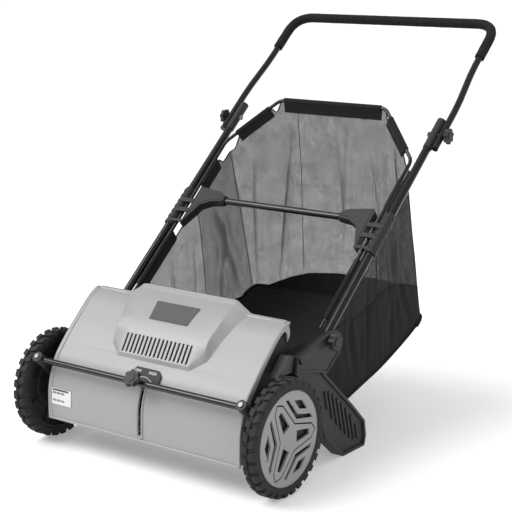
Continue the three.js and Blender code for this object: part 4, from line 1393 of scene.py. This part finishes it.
def insetOutline(outline, depth):
    # The outline pulled in by depth, corner by corner.
    area = sum(a[0] * b[1] - b[0] * a[1] for a, b in zip(outline, outline[1:] + outline[:1]))
    sign = 1 if area > 0 else -1
    out = []
    for i, p in enumerate(outline):
        before, after = outline[i - 1], outline[(i + 1) % len(outline)]
        e1 = Vector((p[0] - before[0], p[1] - before[1])).normalized()
        e2 = Vector((after[0] - p[0], after[1] - p[1])).normalized()
        n1, n2 = Vector((-e1.y, e1.x)) * sign, Vector((-e2.y, e2.x)) * sign
        n = (n1 + n2).normalized()
        reach = depth / max(n.dot(n1), 0.45)
        out.append((p[0] + n.x * reach, p[1] + n.y * reach))
    return out


def strip(start, end, half):
    along = Vector((end[0] - start[0], end[1] - start[1])).normalized()
    n = Vector((-along.y, along.x)) * half
    return [(start[0] + n.x, start[1] + n.y), (end[0] + n.x, end[1] + n.y),
            (end[0] - n.x, end[1] - n.y), (start[0] - n.x, start[1] - n.y)]


def raisedRim(body, outer, inner, fromX, toX):
    # A rim round a plate, between an outer and an inner outline.
    steps = ((outer, fromX), (outer, toX), (inner, toX), (inner, fromX))
    body.loft([[at(x, y, z) for y, z in outline] for outline, x in steps], closed=True)


def makeLeg(side):
    plan = legPlan
    body = Shapes()
    shell = insetOutline(plan["leg"], 7)
    body.plate([(y, z) for y, z in plan["leg"]], side * plan["innerX"], side * (plan["outerX"] - 4.5))
    raisedRim(body, plan["leg"], shell, side * (plan["outerX"] - 4.6), side * plan["outerX"])
    ribs = plan["ribs"]
    for k, reach in enumerate(ribs["reach"]):
        t = k / (ribs["count"] - 1)
        y = ribs["from"][0] + (ribs["to"][0] - ribs["from"][0]) * t
        z = ribs["from"][1] + (ribs["to"][1] - ribs["from"][1]) * t
        dy, dz = ribs["lean"][0] * reach, ribs["lean"][1] * reach
        body.plate(strip((y - dy, z - dz), (y + dy, z + dz), ribs["half"]), side * (plan["outerX"] - 5),
                   side * (plan["outerX"] - 0.8))
    body.plate(plan["arm"], side * plan["innerX"], side * (plan["armX"] - 1.8))
    rim = insetOutline(plan["arm"], 6)
    raisedRim(body, plan["arm"], rim, side * (plan["armX"] - 2), side * plan["armX"])
    body.plate(plan["band"], side * plan["innerX"], side * plan["bandX"])
    knobY, knobZ = plan["knob"]
    boss = [(0, 290), (12.5, 290), (12.5, 304.6), (8, 305), (0, 305)]
    body.turned([(r, side * x) for r, x in boss], at(0, knobY, knobZ), sides=40)
    name = "stand_" + sideWord(side)
    leg = placePiece(name, body.mesh(name), "blackPlastic", "chassis", 28)
    addBevel(leg, 1.6, 3, 28)
    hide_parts("stand_leg_" + sideWord(side))


for legSide in (-1, 1):
    makeLeg(legSide)
print("stands: both legs")

clampPlan = {
    "x": 288, "start": 206, "end": 320, "ribs": 7, "radius": 13.6, "groove": 11.6,
    "gusset": [(250, 208), (252, 316), (246, 324), (188, 316), (172, 308), (170, 288), (200, 284),
               (224, 270), (240, 232)],
    "barAt": 298,
}


def makeClamp(side):
    plan = clampPlan
    axis = (onHandle(0, 100) - onHandle(0, 0)).normalized()
    body = Shapes()
    pitch = (plan["end"] - plan["start"]) / plan["ribs"]
    profile = [(9.7, plan["start"])]
    for i in range(plan["ribs"]):
        s = plan["start"] + i * pitch
        profile += [(plan["radius"] - 1.2, s), (plan["radius"], s + 1.4), (plan["radius"], s + pitch * 0.6),
                    (plan["radius"] - 1.2, s + pitch * 0.68), (plan["groove"], s + pitch * 0.72),
                    (plan["groove"], s + pitch * 0.96)]
    profile += [(plan["groove"], plan["end"]), (9.7, plan["end"])]
    body.turned(profile, onHandle(side * plan["x"], 0), axis, 40)
    gusset = [(side * x, s) for x, s in plan["gusset"]]
    body.handlePlate(gusset, -9, 12)
    raised = [(side * x, s) for x, s in insetOutline(plan["gusset"], 6)]
    body.handlePlate(raised, -8, 13.2)
    for s in (242, 272):
        web = [(side * 248, s), (side * 286, s), (side * 286, s + 12), (side * 248, s + 12)]
        body.handlePlate(web, 9.2, 13.8)
    lowWeb = [(side * 246, 211), (side * 284, 211), (side * 284, 219), (side * 246, 219)]
    body.handlePlate(lowWeb, 9.2, 12.5)
    socket = [(8.5, 166), (11.6, 166), (12.6, 168), (12.6, 206), (8.5, 206)]
    body.turned([(r, side * x) for r, x in socket], onHandle(0, plan["barAt"]), sides=40)
    name = "clamp_" + sideWord(side)
    piece = placePiece(name, body.mesh(name), "blackPlastic", "chassis", 28)
    addBevel(piece, 1.2, 3, 28)
    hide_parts("handle_clamp_" + sideWord(side))


for clampSide in (-1, 1):
    makeClamp(clampSide)
print("clamps: both")

brushPlan = {"centre": (24.469, 97.246), "core": 14, "radius": 85, "firstRow": 25, "half": 242,
             "pitch": 5.2, "strands": 7}


def makeBrushRow(index):
    plan = brushPlan
    rng = random.Random(20 + index)
    base = math.radians(plan["firstRow"] + 90 * index)
    y0, z0 = plan["centre"]
    shapes = Shapes()
    count = int(2 * plan["half"] / plan["pitch"])
    for i in range(count + 1):
        x = -plan["half"] + i * plan["pitch"]
        for _ in range(plan["strands"]):
            root = base + rng.uniform(-0.12, 0.12)
            tip = base + rng.uniform(-0.045, 0.045)
            reach = plan["radius"] - rng.uniform(0, 4)
            x1 = x + rng.uniform(-3.4, 3.4)
            core = plan["core"]
            a = at(x + rng.uniform(-1.5, 1.5), y0 + core * math.cos(root), z0 + core * math.sin(root))
            b = at(x1, y0 + reach * math.cos(tip), z0 + reach * math.sin(tip))
            shapes.loft([tubeRings([a, b], 0.55, 3)[0], tubeRings([a, b], 0.4, 3)[1]])
    name = "bristles_" + str(index + 1)
    mesh = meshFrom(name, shapes.points, shapes.faces)
    row = placePiece(name, mesh, "bristles", "brush_rotor", 60)
    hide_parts("bristle_row_" + str(index + 1))


for brushRow in range(4):
    makeBrushRow(brushRow)
print("brush: four rows")

keptNodes = {
    "badge_plate": ("badgePlastic", 0.8),
    "hood_label": ("labelFilm", 0.2),
    "height_scale_plate": ("blackPlastic", 1.0),
    "side_plate_left": ("blackPlastic", 0.8),
    "side_plate_right": ("blackPlastic", 0.8),
    "axle_stub_left": ("steel", 0.6),
    "axle_stub_right": ("steel", 0.6),
    "hood_clip_left": ("clipPlastic", 2.4),
    "hood_clip_right": ("clipPlastic", 2.4),
    "tube_sleeve_left": ("blackPlastic", 0.8),
    "tube_sleeve_right": ("blackPlastic", 0.8),
    "leg_knob_left": ("blackPlastic", 1.4),
    "leg_knob_right": ("blackPlastic", 1.4),
    "leg_bolt_left": ("steel", 0.4),
    "leg_bolt_right": ("steel", 0.4),
    "fold_knob_left": ("blackPlastic", 1.4),
    "fold_knob_right": ("blackPlastic", 1.4),
    "fold_bolt_left": ("steel", 0.4),
    "fold_bolt_right": ("steel", 0.4),
    "adjuster_arm_left": ("blackPlastic", 0.8),
    "adjuster_arm_right": ("blackPlastic", 0.8),
    "rod_screw_left": ("steel", 0.8),
    "rod_screw_right": ("steel", 0.8),
    "adjuster_bolt": ("steel", 0.4),
    "adjuster_knob": ("blackPlastic", 1.4),
    "brush_shaft": ("steel", 0.4),
    "brush_core": ("blackPlastic", 0.6),
    "pinion_left": ("blackPlastic", 0.3),
    "pinion_right": ("blackPlastic", 0.3),
}

for node, (finish, softness) in keptNodes.items():
    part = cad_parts[node]
    part.data.materials.clear()
    part.data.materials.append(looks[finish])
    addBevel(part, softness, 2, 30)
print("kept nodes:", len(keptNodes), "finished")
